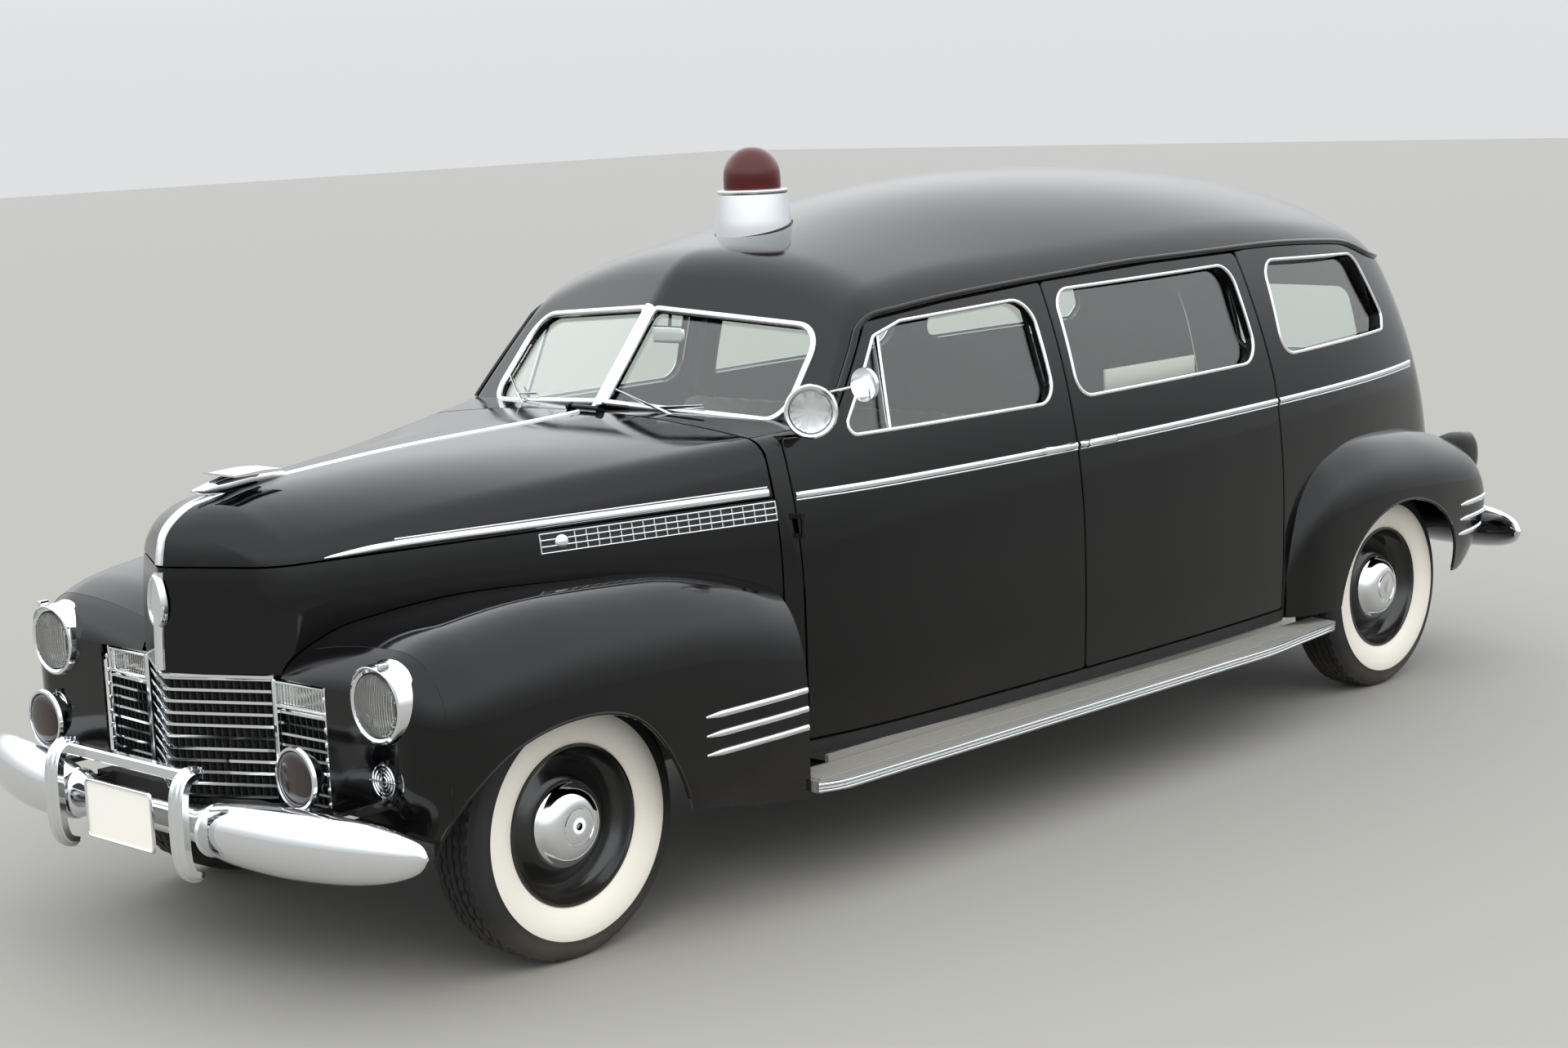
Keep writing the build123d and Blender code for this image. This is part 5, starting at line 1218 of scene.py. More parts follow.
# Half sections as (radius, distance out from the wheel's middle plane): the tyre's wall from its bead to the
# shoulder, and its tread with two grooves
tyre_profile = [(0.222, 0.060), (0.226, 0.072), (0.240, 0.084), (0.262, 0.093), (0.290, 0.098),
                (0.318, 0.0975), (0.322, 0.0955), (0.340, 0.092), (0.356, 0.086), (0.366, 0.078),
                (0.372, 0.070)]
tread_profile = [(0.3745, 0.068), (0.3785, 0.064), (0.3795, 0.044), (0.371, 0.043), (0.371, 0.037),
                 (0.380, 0.036), (0.380, 0.016), (0.371, 0.015), (0.371, 0.009), (0.380, 0.008)]
half_profile = tyre_profile + tread_profile
full_profile = half_profile + [(r, -h) for r, h in reversed(half_profile)]
full_profile = full_profile + [(0.214, -0.055), (0.214, 0.055), full_profile[0]]


def tyre(centre, outward, steps=160):
    """A tyre whose tread blocks are cut by cross grooves, with a white band for its outer wall."""
    vertices, faces = lathe(full_profile, centre, (outward, 0, 0), steps)
    for index, v in enumerate(vertices):
        row, column = divmod(index, steps)
        radius, out = full_profile[row]
        if radius > 0.378 and abs(out) > 0.012 and column % 3 == 0:
            vertices[index] = tuple(centre + (np.array(v) - centre) * np.array((1, 0.984, 0.984)))
    return vertices, faces


# The wheel as (radius, distance out): rim and disc, the disc's back, the brake drum behind it and the hub cap
HUB_HOLE = 0.027
rim_profile = [(0.222, 0.066), (0.228, 0.072), (0.226, 0.078), (0.219, 0.078), (0.212, 0.066),
               (0.206, 0.040), (0.196, 0.034), (0.188, 0.020), (0.176, 0.004), (0.160, 0.010),
               (0.140, 0.030), (0.124, 0.040), (0.060, 0.040), (HUB_HOLE, 0.040)]
disc_back = [(HUB_HOLE, 0.030), (0.12, 0.030), (0.15, 0.0), (0.17, -0.006), (0.20, 0.03), (0.205, -0.06),
             (0.222, -0.074), (0.226, -0.07), (0.210, -0.05), rim_profile[0]]
drum_profile = [(0.028, -0.044), (0.028, 0.027), (0.10, 0.027), (0.138, 0.0), (0.148, -0.046),
                (0.141, -0.046), (0.130, -0.006), (0.095, 0.017), (0.050, 0.017), (0.050, -0.044),
                (0.028, -0.044)]
cap_profile = [(0.124, 0.036), (0.1235, 0.044), (0.121, 0.050), (0.116, 0.054), (0.112, 0.058),
               (0.104, 0.072), (0.092, 0.083), (0.078, 0.090), (0.064, 0.094), (0.058, 0.0945),
               (0.056, 0.0915), (0.050, 0.0915), (0.048, 0.0955), (0.030, 0.098), (0.0, 0.099), (0.0, 0.043),
               (0.10, 0.043), (0.12, 0.036), (0.124, 0.036)]
# The white band's inner and outer radius on the tyre's outer wall
BAND_RADII = (0.232, 0.319)
for end in ("front", "rear"):
    for word, sign in SIDES:
        node = f"tyre_{end}_{word}"
        low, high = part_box(node)
        centre = np.array((low + high) / 2)
        carrier = f"{end} wheel {word}"
        rubber = piece(f"{end}_tyre_{word}", *tyre(centre, sign), [tyre_rubber, white_rubber], carrier,
                       replaced=[node], slot="tyre", sharp=math.radians(30))
        for face in rubber.data.polygons:
            away = np.array(face.center) - centre
            on_band = BAND_RADII[0] < math.hypot(away[1], away[2]) < BAND_RADII[1]
            if away[0] * sign > 0.05 and on_band:
                face.material_index = 1
        outward = (sign, 0, 0)
        disc = lathe(rim_profile + disc_back, centre, outward, 72)
        drum = lathe(drum_profile, centre, outward, 48)
        piece(f"{end}_wheel_disc_{word}", *joined([disc, drum]), wheel_paint, carrier,
              replaced=[f"wheel_{end}_{word}"], slot="wheel_paint", sharp=math.radians(50))
        piece(f"{end}_hub_cap_{word}", *lathe(cap_profile, centre, outward, 96), chrome, carrier,
              slot="chrome", sharp=math.radians(30))

# Rows made by Geometry Nodes


def tree_of(name, sizes):
    """A Geometry Nodes tree that takes a geometry and named sizes, and the sockets that give them."""
    tree = bpy.data.node_groups.new(name, "GeometryNodeTree")
    tree.interface.new_socket("Geometry", in_out="INPUT", socket_type="NodeSocketGeometry")
    for label, kind in sizes.items():
        tree.interface.new_socket(label, in_out="INPUT", socket_type=kind)
    tree.interface.new_socket("Geometry", in_out="OUTPUT", socket_type="NodeSocketGeometry")
    return tree, add(tree, "NodeGroupInput").outputs


def end_tree(tree, instances, finish):
    """Ends a tree in real faces with a material."""
    real = add(tree, "GeometryNodeRealizeInstances", {"Geometry": instances})
    painted = add(tree, "GeometryNodeSetMaterial", {"Geometry": real.outputs["Geometry"]}, Material=finish)
    add(tree, "NodeGroupOutput", {"Geometry": painted.outputs["Geometry"]})
    return tree


def step_tree(name, finish):
    """A tree that repeats the object's own shape Count times, each one a Step from the last."""
    tree, given = tree_of(name, {"Count": "NodeSocketInt", "Step": "NodeSocketVector"})
    line = add(tree, "GeometryNodeMeshLine", {"Count": given["Count"], "Offset": given["Step"]},
               mode="OFFSET")
    row = add(tree, "GeometryNodeInstanceOnPoints",
              {"Points": line.outputs["Mesh"], "Instance": given["Geometry"]})
    return end_tree(tree, row.outputs["Instances"], finish)


def rod_tree(name, finish):
    """A tree that sets a square rod of Width, Depth and Height on every point of the object."""
    tree, given = tree_of(name, dict.fromkeys(("Width", "Depth", "Height"), "NodeSocketFloat"))
    size = add(tree, "ShaderNodeCombineXYZ",
               {"X": given["Width"], "Y": given["Depth"], "Z": given["Height"]})
    rod = add(tree, "GeometryNodeMeshCube", {"Size": size.outputs["Vector"]})
    row = add(tree, "GeometryNodeInstanceOnPoints",
              {"Points": given["Geometry"], "Instance": rod.outputs["Mesh"]})
    return end_tree(tree, row.outputs["Instances"], finish)


def grown(tree, vertices, faces=(), **sizes):
    """What a tree makes of a mesh, as a (vertices, faces) pair."""
    mesh = bpy.data.meshes.new(tree.name)
    mesh.from_pydata([tuple(map(float, v)) for v in vertices], [], list(faces))
    shown = bpy.data.objects.new(tree.name, mesh)
    scene.collection.objects.link(shown)
    change = shown.modifiers.new(tree.name, "NODES")
    change.node_group = tree
    for socket in tree.interface.items_tree:
        if socket.in_out == "INPUT" and socket.name in sizes:
            change[socket.identifier] = sizes[socket.name]
    return result_of(shown)


chrome_row = step_tree("chrome_row", chrome)

# Grille: a V in the middle with level bars, a flat wing on each side with shorter bars under a parking lens
GRILLE_LOW, GRILLE_HIGH = 0.492, 0.836
GRILLE_TIP_Y, GRILLE_KNEE_X, GRILLE_KNEE_Y = -2.794, 0.296, -2.640
FORWARD = (0, -1, 0)


def grille_plan(x):
    """Front of the grille bars: a V in the middle and two flat wings."""
    x = abs(x)
    if x <= GRILLE_KNEE_X:
        return GRILLE_TIP_Y + (math.sqrt(x * x + 0.01 ** 2) - 0.01) / GRILLE_KNEE_X * 0.154
    return GRILLE_KNEE_Y + (x - GRILLE_KNEE_X) / 0.225 * 0.012


def along_grille(xs, z, back=0.0):
    """Places on the grille's plan at a height, set back by a depth."""
    return [(x, grille_plan(x) + back, z) for x in xs]


def grille_bars(x0, x1, columns, heights, high=0.0125, deep=0.022):
    """Level chrome bars of D section that follow the grille's plan, one over the other."""
    section = [(high / 2, -deep), (high / 2, -0.006), (high * 0.32, 0.0), (-high * 0.32, 0.0),
               (-high / 2, -0.006), (-high / 2, -deep)]
    lowest = sweep(along_grille(np.linspace(x0, x1, columns), heights[0]), FORWARD, section)
    return grown(chrome_row, *lowest, Count=len(heights), Step=(0.0, 0.0, heights[1] - heights[0]))


def flat_band(half, thick):
    """Section of a flat sheet, a half width to either side and a thickness behind its path."""
    return [(half, -thick), (half, 0), (-half, 0), (-half, -thick)]


centre_bars = grille_bars(-0.29, 0.29, 25, np.linspace(GRILLE_LOW + 0.008, GRILLE_HIGH - 0.008, 11))
lip_section = [(0.009, -0.03), (0.009, -0.004), (0.004, 0.004), (-0.004, 0.004), (-0.009, -0.004),
               (-0.009, -0.03)]
top_lip = sweep(along_grille(np.linspace(-0.3, 0.3, 25), GRILLE_HIGH, -0.004), FORWARD, lip_section)
piece("grille_centre_bars", *joined([centre_bars, top_lip]), chrome, "car", replaced=["grille"],
      slot="chrome", sharp=math.radians(25))

# Side grille: bars between two posts, a column of knobs on the outer post, and the parking lens's frame
POST_XS, LENS_XS, LENS_ENDS = (0.303, 0.517), (0.312, 0.508), (0.766, 0.820)
side_bars = grille_bars(0.312, 0.515, 5, np.linspace(GRILLE_LOW + 0.008, 0.742, 9), 0.011)
posts = [block((x - 0.008, grille_plan(x) - 0.012, GRILLE_LOW - 0.004),
               (x + 0.008, grille_plan(x) + 0.02, 0.832), 0.003)
         for x in POST_XS]
knob_heights = np.linspace(GRILLE_LOW + 0.02, 0.80, 8)
knob = lathe([(0.0, -0.004), (0.0075, -0.002), (0.0075, 0.003), (0.0, 0.007)],
             along_grille(POST_XS[1:], knob_heights[0], -0.014)[0], FORWARD, 14)
knobs = grown(chrome_row, *knob, Count=len(knob_heights),
              Step=(0.0, 0.0, knob_heights[1] - knob_heights[0]))
lens_frame = [sweep(along_grille(LENS_XS, z, -0.006), FORWARD, half_round(0.010, 0.008))
              for z in (0.760, 0.826)]
piece("grille_side_bars", *both(joined([side_bars, *posts, knobs, *lens_frame])), chrome, "car",
      slot="chrome", sharp=math.radians(25))

# Parking lens: upright flutes side by side, each a little further back, before a bright plate
flute_xs = np.linspace(0.318, 0.504, 16)
flute_places = [along_grille(flute_xs[:1], z, 0.004)[0] for z in LENS_ENDS]
flute = sweep(flute_places, FORWARD, half_round(0.0125, 0.006, 6))
flute_step = np.subtract(*along_grille(flute_xs[1::-1], 0.0))
flutes = grown(step_tree("flute_row", lens_glass), *flute, Count=len(flute_xs),
               Step=tuple(map(float, flute_step)))
piece("parking_lenses", *both(flutes), lens_glass, "car", slot="glass")
lens_back = sweep(along_grille(LENS_XS, 0.793, 0.024), FORWARD, flat_band(0.033, 0.003))
piece("parking_lens_backs", *both(lens_back), reflector, "car", slot="chrome")

# Thin uprights behind the bars, and the dark shroud behind them
UPRIGHT_WIDTH, UPRIGHT_DEPTH, UPRIGHT_BACK, SIDE_TOP = 0.0032, 0.018, 0.021, 0.75
upright_row = rod_tree("upright_row", frame_paint)
uprights = []
side_xs = np.linspace(0.33, 0.50, 8)
for xs, top in ((np.linspace(-0.28, 0.28, 29), GRILLE_HIGH), ([*side_xs, *-side_xs], SIDE_TOP)):
    places = along_grille(xs, (GRILLE_LOW + top) / 2, UPRIGHT_BACK)
    uprights.append(grown(upright_row, places, Width=UPRIGHT_WIDTH, Depth=UPRIGHT_DEPTH,
                          Height=top - GRILLE_LOW))
piece("grille_uprights", *joined(uprights), frame_paint, "car", slot="frame_paint")
shroud = sweep(along_grille(np.linspace(-0.52, 0.52, 21), 0.66, 0.05), FORWARD, flat_band(0.17, 0.004))
piece("grille_shroud", *shroud, frame_paint, "car", slot="frame_paint")

# Bumpers

# Distance out from the centre, set-back, half height and half depth of the front bar
FRONT_BAR = [(0.0, 0.0, 0.042, 0.030), (0.24, 0.0, 0.046, 0.036), (0.33, 0.002, 0.070, 0.052),
             (0.44, 0.012, 0.086, 0.062), (0.62, 0.038, 0.094, 0.068), (0.78, 0.072, 0.089, 0.064),
             (0.89, 0.105, 0.077, 0.055), (0.96, 0.130, 0.059, 0.042), (1.00, 0.146, 0.038, 0.027),
             (1.023, 0.156, 0.005, 0.004)]
BAR_Z, REAR_BAR_Z, GUARD_X, BRACKET_X = 0.47, 0.50, 0.30, 0.43
GUARD_RINGS = 30
GUARD_SECTION = [(0.029, -0.022), (0.029, -0.002), (0.022, 0.002), (0.020, 0.008), (0.012, 0.010),
                 (0.009, 0.017), (-0.009, 0.017), (-0.012, 0.010), (-0.020, 0.008), (-0.022, 0.002),
                 (-0.029, -0.002), (-0.029, -0.022)]


def bumper_bar(rows, y, sign, z):
    """A torpedo bumper bar from tip to tip; sign is 1 where its tips sweep back in y."""
    table = np.array(rows)
    curves = [cubic(table[:, 0], table[:, i], natural=False) for i in (1, 2, 3)]
    xs = np.concatenate([np.linspace(0, 0.9, 46),
                         0.9 + 0.122 * (1 - (1 - np.linspace(0, 1, 16)[1:]) ** 1.8)])
    rings = []
    for x in [-v for v in xs[:0:-1]] + list(xs):
        back, high, deep = [float(c(abs(x))) for c in curves]
        rings.append([(x, y + sign * back + deep * math.cos(a), z + high * math.sin(a))
                      for a in full_turn(32)])
    return tube(rings)


def guard(x, y, sign, low, high):
    """An upright guard: a stepped face that curls back over the bar at its top."""
    spine = [(0.005, low), (-0.03, low + 0.012), (-0.052, low + 0.06), (-0.056, BAR_Z),
             (-0.052, high - 0.06), (-0.036, high - 0.018), (-0.008, high), (0.03, high - 0.004)]
    points = np.array([(y + sign * back, z) for back, z in spine])
    t = np.concatenate([[0], np.cumsum(np.linalg.norm(np.diff(points, axis=0), axis=1))])
    curve_y, curve_z = cubic(t, points[:, 0]), cubic(t, points[:, 1])
    steps = np.linspace(0, t[-1], GUARD_RINGS)
    path = [(x, float(curve_y(q)), float(curve_z(q))) for q in steps]
    ups = []
    for q in steps:
        dy, dz = [float(curve(q + 0.002) - curve(q - 0.002)) for curve in (curve_y, curve_z)]
        ups.append(unit((0, -sign * dz, sign * dy)))
    sizes = [0.72 + 0.28 * math.sin(math.pi * (k / (GUARD_RINGS - 1))) ** 0.5 for k in range(GUARD_RINGS)]
    return sweep(path, np.array(ups), GUARD_SECTION, scales=sizes)


# Front bumper: bar, two guards with a collar outside each, and a rail between the guards' tops
collar_profile = [(0.052, -0.010), (0.068, -0.008), (0.073, 0.0), (0.068, 0.008), (0.052, 0.010),
                  (0.052, -0.010)]
rail_section = [(0.017, -0.016), (0.017, 0.006), (0.012, 0.011), (-0.012, 0.011), (-0.017, 0.006),
                (-0.017, -0.016)]
rail_path = [(x, -2.925, 0.615) for x in np.linspace(-GUARD_X, GUARD_X, 9)]
front_parts = [bumper_bar(FRONT_BAR, -2.885, 1, BAR_Z)]
for sign in (1, -1):
    front_parts.append(guard(sign * GUARD_X, -2.93, 1, 0.345, 0.632))
    front_parts.append(lathe(collar_profile, (sign * 0.335, -2.884, BAR_Z), (sign, 0.02, 0), 40))
front_parts.append(sweep(rail_path, FORWARD, rail_section))
piece("front_bumper_chrome", *joined(front_parts), chrome, "car", replaced=["front_bumper"], slot="chrome",
      sharp=math.radians(28))
rear_bar = [(x, back, high * 0.95, deep * 0.75) for x, back, high, deep in FRONT_BAR]
rear_parts = [bumper_bar(rear_bar, 2.945, -1, REAR_BAR_Z)]
rear_parts += [guard(sign * GUARD_X, 2.945, -1, 0.37, 0.60) for sign in (1, -1)]
piece("rear_bumper_chrome", *joined(rear_parts), chrome, "car", replaced=["rear_bumper"], slot="chrome",
      sharp=math.radians(28))
brackets = [block((x - 0.012, y0, 0.43), (x + 0.012, y1, 0.48))
            for x in (BRACKET_X, -BRACKET_X) for y0, y1 in ((-2.88, -2.70), (2.72, 2.93))]
piece("bumper_brackets", *joined(brackets), frame_paint, "car", slot="frame_paint")

# Blank number plates in chrome frames
plate_outline = rounded([(-0.1525, 0.40), (0.1525, 0.40), (0.1525, 0.552), (-0.1525, 0.552)], 0.012)
frame_outline = rounded([(-0.157, 0.396), (0.157, 0.396), (0.157, 0.556), (-0.157, 0.556)], 0.014)
for name, y, out in (("front_plate", -2.965, -1), ("rear_plate", 2.955, 1)):
    plate = [[(x, y + out * depth, z) for x, z in plate_outline] for depth in (-0.001, 0.001)]
    piece(name, *tube(plate), white_enamel, "car")
    plate_edge = sweep([(x, y, z) for x, z in frame_outline], (0, out, 0), half_round(0.009, 0.006, 5),
                       loop=True)
    piece(name + "_frame", *plate_edge, chrome, "car", slot="chrome")

# Splash apron between the grille and the bumper
apron_rings = []
for t in np.linspace(0, 1, 10):
    z, ahead = 0.49 - 0.10 * t, -0.05 * math.sin(t * math.pi / 2)
    apron_rings.append([(x, grille_plan(x) * 0.985 + ahead * (1 - abs(x) / 0.9),
                         z - 0.02 * t * (abs(x) / 0.55) ** 2)
                        for x in np.linspace(-0.56, 0.56, 41)])
piece("splash_apron", *thickened(work_mesh(grid_faces(apron_rings)), 0.004, FORWARD), black_paint, "car",
      slot="black_paint")

# Lamps


def lens_dome(radius, crown, back, steps=10):
    """Profile of a lens: a domed face and a flat back."""
    front = [(radius * math.cos(a), back + 0.004 + crown * math.sin(a))
             for a in np.linspace(0, math.pi / 2, steps)]
    return [(0.0, back), (radius, back)] + front


def bezel(r, depth):
    """Profile of a lamp's chrome rim and the start of its shell, for a lamp of outer radius r."""
    return [(r - 0.012, -0.008), (r - 0.010, 0.001), (r - 0.003, 0.003), (r + 0.002, -0.002),
            (r + 0.005, -depth), (r - 0.008, -depth - 0.004), (r - 0.012, -0.008)]


# Head lamp: bezel, visor, screw block, fluted lens, bowl and bulb
HEAD, HEAD_RADIUS = np.array((0.768, -2.668, 0.822)), 0.104
HEAD_LENS = HEAD_RADIUS - 0.018
head_bezel = [(HEAD_LENS, -0.006), (HEAD_RADIUS - 0.016, 0.0), (HEAD_RADIUS - 0.008, 0.004),
              (HEAD_RADIUS - 0.001, 0.001), (HEAD_RADIUS + 0.003, -0.008), (HEAD_RADIUS + 0.004, -0.05),
              (HEAD_RADIUS + 0.009, -0.056), (HEAD_RADIUS + 0.009, -0.062), (HEAD_RADIUS - 0.01, -0.062),
              (HEAD_LENS, -0.02), (HEAD_LENS, -0.006)]
VISOR_FROM, VISOR_TO = math.radians(25), math.radians(155)
visor = []
for a in np.linspace(VISOR_FROM, VISOR_TO, 25):
    out = np.array((math.cos(a), 0, math.sin(a)))
    reach = 0.012 * math.sin((a - VISOR_FROM) / (VISOR_TO - VISOR_FROM) * math.pi) ** 0.8
    root = HEAD + out * (HEAD_RADIUS - 0.004)
    visor.append([tuple(root + out * lift - np.array((0, ahead, 0))) for lift, ahead in
                  ((0.0, 0.0), (0.002, 0.002 + reach), (0.005, 0.001 + reach), (0.0075, -0.03))])
screw_block = block(HEAD + (0.030, -0.012, HEAD_RADIUS - 0.004), HEAD + (0.046, 0.02, HEAD_RADIUS + 0.012),
                    0.003)
lamp_chrome = [lathe(head_bezel, HEAD, FORWARD, 72), tube(visor), screw_block]
lamp_lenses = [lathe(lens_dome(HEAD_LENS, 0.020, -0.010), HEAD, FORWARD, 64)]
for x in np.linspace(-0.072, 0.072, 17):
    tall = math.sqrt((HEAD_RADIUS - 0.022) ** 2 - x * x)
    flute_path = [HEAD + (x, 0.004 - 0.016 * (1 - (z * z + x * x) / HEAD_RADIUS ** 2), z)
                  for z in np.linspace(-tall, tall, 9)]
    lamp_lenses.append(sweep(flute_path, (0, 1, 0), half_round(0.0085, 0.0022, 4)))
head_bowl = [(HEAD_LENS, -0.012), (0.07, -0.045), (0.045, -0.066), (0.02, -0.076), (0.0, -0.078),
             (0.0, -0.080), (0.022, -0.078), (0.048, -0.068), (0.074, -0.046), (HEAD_LENS + 0.002, -0.012),
             (HEAD_LENS, -0.012)]
bulb = [(0.0, -0.078), (0.011, -0.074), (0.013, -0.055), (0.009, -0.044), (0.0, -0.041)]
lamp_bowls = [lathe(head_bowl, HEAD, FORWARD, 48), lathe(bulb, HEAD, FORWARD, 20)]

# Small lamp under the head lamp: bezel, four rings and a cross over its lens
SMALL, SMALL_RADIUS = np.array((0.772, -2.648, 0.620)), 0.073
lamp_chrome.append(lathe(bezel(SMALL_RADIUS, 0.03), SMALL, FORWARD, 56))
for radius in (0.044, 0.034, 0.024, 0.014):
    ring_profile = [(radius - 0.0018, 0.004), (radius, 0.0075), (radius + 0.0018, 0.004), (radius, 0.001),
                    (radius - 0.0018, 0.004)]
    lamp_chrome.append(lathe(ring_profile, SMALL + (0, -0.006, 0), FORWARD, 40))
for half_x, half_z in ((0.002, 0.052), (0.052, 0.002)):
    lamp_chrome.append(block(SMALL - (half_x, 0.017, half_z), SMALL + (half_x, -0.008, half_z)))
lamp_lenses.append(lathe(lens_dome(SMALL_RADIUS - 0.012, 0.008, -0.008), SMALL, FORWARD, 48))
small_bowl = [(0.0, -0.022), (SMALL_RADIUS - 0.014, -0.012), (SMALL_RADIUS - 0.014, -0.015), (0.0, -0.026)]
lamp_bowls.append(lathe(small_bowl, SMALL, FORWARD, 40))
piece("lamp_bezels", *both(joined(lamp_chrome)), chrome, "car", replaced=["head_lamps"], slot="chrome",
      sharp=math.radians(40))
piece("lamp_lenses", *both(joined(lamp_lenses)), lens_glass, "car", replaced=["lamp_glass"], slot="glass")
piece("lamp_reflectors", *both(joined(lamp_bowls)), reflector, "car", slot="chrome")

# Auxiliary lamp on a stem behind the bumper
AUX, AUX_RADIUS = np.array((0.60, -2.812, 0.634)), 0.084
aux_profile = [(AUX_RADIUS - 0.011, -0.004), (AUX_RADIUS - 0.008, 0.004), (AUX_RADIUS - 0.001, 0.003),
               (AUX_RADIUS + 0.002, -0.006), (AUX_RADIUS - 0.002, -0.012), (0.066, -0.035), (0.045, -0.06),
               (0.02, -0.072), (0.0, -0.075)]
stem_profile = [(0.0, 0.0), (0.024, 0.0), (0.022, 0.008), (0.012, 0.014), (0.011, 0.075), (0.0, 0.075)]
aux_parts = [lathe(aux_profile, AUX, FORWARD, 56),
             lathe(stem_profile, (AUX[0], AUX[1] + 0.03, 0.50), (0, 0, 1), 20),
             block((AUX[0] - 0.02, AUX[1] + 0.02, 0.492), (AUX[0] + 0.02, -2.62, 0.506))]
piece("aux_lamp_shells", *both(joined(aux_parts)), chrome, "car", replaced=["fog_lamps"], slot="chrome")
aux_lens = lathe(lens_dome(AUX_RADIUS - 0.011, 0.012, -0.006), AUX, FORWARD, 48)
piece("aux_lamp_lenses", *both(aux_lens), smoked_glass, "car", replaced=["fog_lamp_glass"],
      slot="red_glass")

# Spot lamp on the left windscreen post, turned towards the front left
SPOT, SPOT_RADIUS = np.array((0.858, -1.082, 1.411)), 0.079
SPOT_AIM = unit((0.60, -0.80, 0.06))
spot_profile = [(SPOT_RADIUS - 0.014, -0.008), (SPOT_RADIUS - 0.012, 0.003), (SPOT_RADIUS - 0.004, 0.006),
                (SPOT_RADIUS + 0.001, 0.002), (SPOT_RADIUS + 0.002, -0.012), (SPOT_RADIUS - 0.004, -0.018),
                (SPOT_RADIUS - 0.01, -0.04), (0.052, -0.075), (0.03, -0.09), (0.0, -0.095)]
spot_arm = [SPOT - SPOT_AIM * 0.06, (0.838, -1.010, 1.411), (0.800, -0.962, 1.407), (0.762, -0.94, 1.402)]
spot_rosette = lathe([(0.0, 0.0), (0.020, 0.0), (0.017, 0.01), (0.0, 0.014)], (0.770, -0.945, 1.403),
                     (0.8, -0.55, 0.1), 20)
spot_parts = [lathe(spot_profile, SPOT, SPOT_AIM, 56), sweep(spot_arm, (0, 0, 1), circle(0.010, 12)),
              spot_rosette]
piece("spot_lamp_shell", *joined(spot_parts), chrome, "car", replaced=["spot_lamp"], slot="chrome")
spot_lens = lathe(lens_dome(SPOT_RADIUS - 0.015, 0.014, -0.008), SPOT, SPOT_AIM, 48)
piece("spot_lamp_lens", *spot_lens, lens_glass, "car", slot="glass")
spot_bowl = [(SPOT_RADIUS - 0.016, -0.010), (0.05, -0.04), (0.02, -0.056), (0.0, -0.058), (0.0, -0.061),
             (0.022, -0.059), (0.053, -0.042), (SPOT_RADIUS - 0.014, -0.010), (SPOT_RADIUS - 0.016, -0.010)]
piece("spot_lamp_bowl", *lathe(spot_bowl, SPOT, SPOT_AIM, 40), reflector, "car", slot="chrome")

# Beacon: chrome collar with a rolled top, a rubber foot and a ruby dome, with their heights over the ground
BEACON_Y, DOME_FOOT, DOME_SHOULDER, DOME_RADIUS, DOME_HEIGHT = -0.41, 2.023, 2.062, 0.0945, 0.1
collar_profile = [(0.0, 1.85), (0.129, 1.85), (0.1275, 1.895), (0.1245, 1.925), (0.1135, 2.008),
                  (0.1165, 2.012), (0.1165, 2.019), (0.112, DOME_FOOT), (0.096, DOME_FOOT),
                  (0.0, DOME_FOOT - 0.001)]
piece("beacon_collar", *lathe(collar_profile, (0, BEACON_Y, 0), (0, 0, 1), 80), chrome, "car",
      replaced=["beacon_base"], slot="chrome")
foot_profile = [(0.121, -0.014), (0.133, -0.014), (0.134, -0.003), (0.131, 0.003), (0.121, 0.003),
                (0.121, -0.014)]
piece("beacon_foot", *lathe(foot_profile, (0, BEACON_Y, 1.895), (0, -0.2, 1), 72), dark_rubber_and_painted_shade, "car")
dome_profile = [(0.0, DOME_FOOT - 0.001), (0.093, DOME_FOOT), (DOME_RADIUS, 2.03),
                (DOME_RADIUS, DOME_SHOULDER)]
dome_profile += [(DOME_RADIUS * math.cos(a) ** 0.92, DOME_SHOULDER + DOME_HEIGHT * math.sin(a))
                 for a in np.linspace(0, math.pi / 2, 22)[1:]]
piece("beacon_dome_glass", *lathe(dome_profile, (0, BEACON_Y, 0), (0, 0, 1), 72), ruby_glass, "car",
      replaced=["beacon_dome"], slot="red_glass")

# Tail lamps: a fin on each rear wing, as ovals of y, low and high point and half width, with a ruby lens
TAIL_LAMP_X, TAIL_LAMP_Z = 0.815, 0.80
fin = []
for y, low, high, wide in ((2.46, 0.85, 0.880, 0.004), (2.52, 0.82, 0.899, 0.012),
                           (2.60, 0.78, 0.906, 0.019), (2.68, 0.74, 0.901, 0.023),
                           (2.76, 0.71, 0.890, 0.026), (2.775, 0.72, 0.880, 0.022)):
    fin.append([(TAIL_LAMP_X + wide * math.cos(a), y, (low + high) / 2 + (high - low) / 2 * math.sin(a))
                for a in full_turn(24)])
piece("tail_lamp_fins", *both(tube(fin)), black_paint, "car", replaced=["tail_lamps"], slot="black_paint")
tail_lens = []
for y, size in ((2.773, 1.0), (2.785, 0.96), (2.797, 0.8), (2.803, 0.5), (2.805, 0.1)):
    tail_lens.append([(TAIL_LAMP_X + 0.020 * size * math.cos(a), y, TAIL_LAMP_Z + 0.074 * size * math.sin(a))
                      for a in full_turn(24)])
piece("tail_lamp_lenses", *both(tube(tail_lens)), ruby_glass, "car", slot="red_glass")

# Running boards and what shows inside

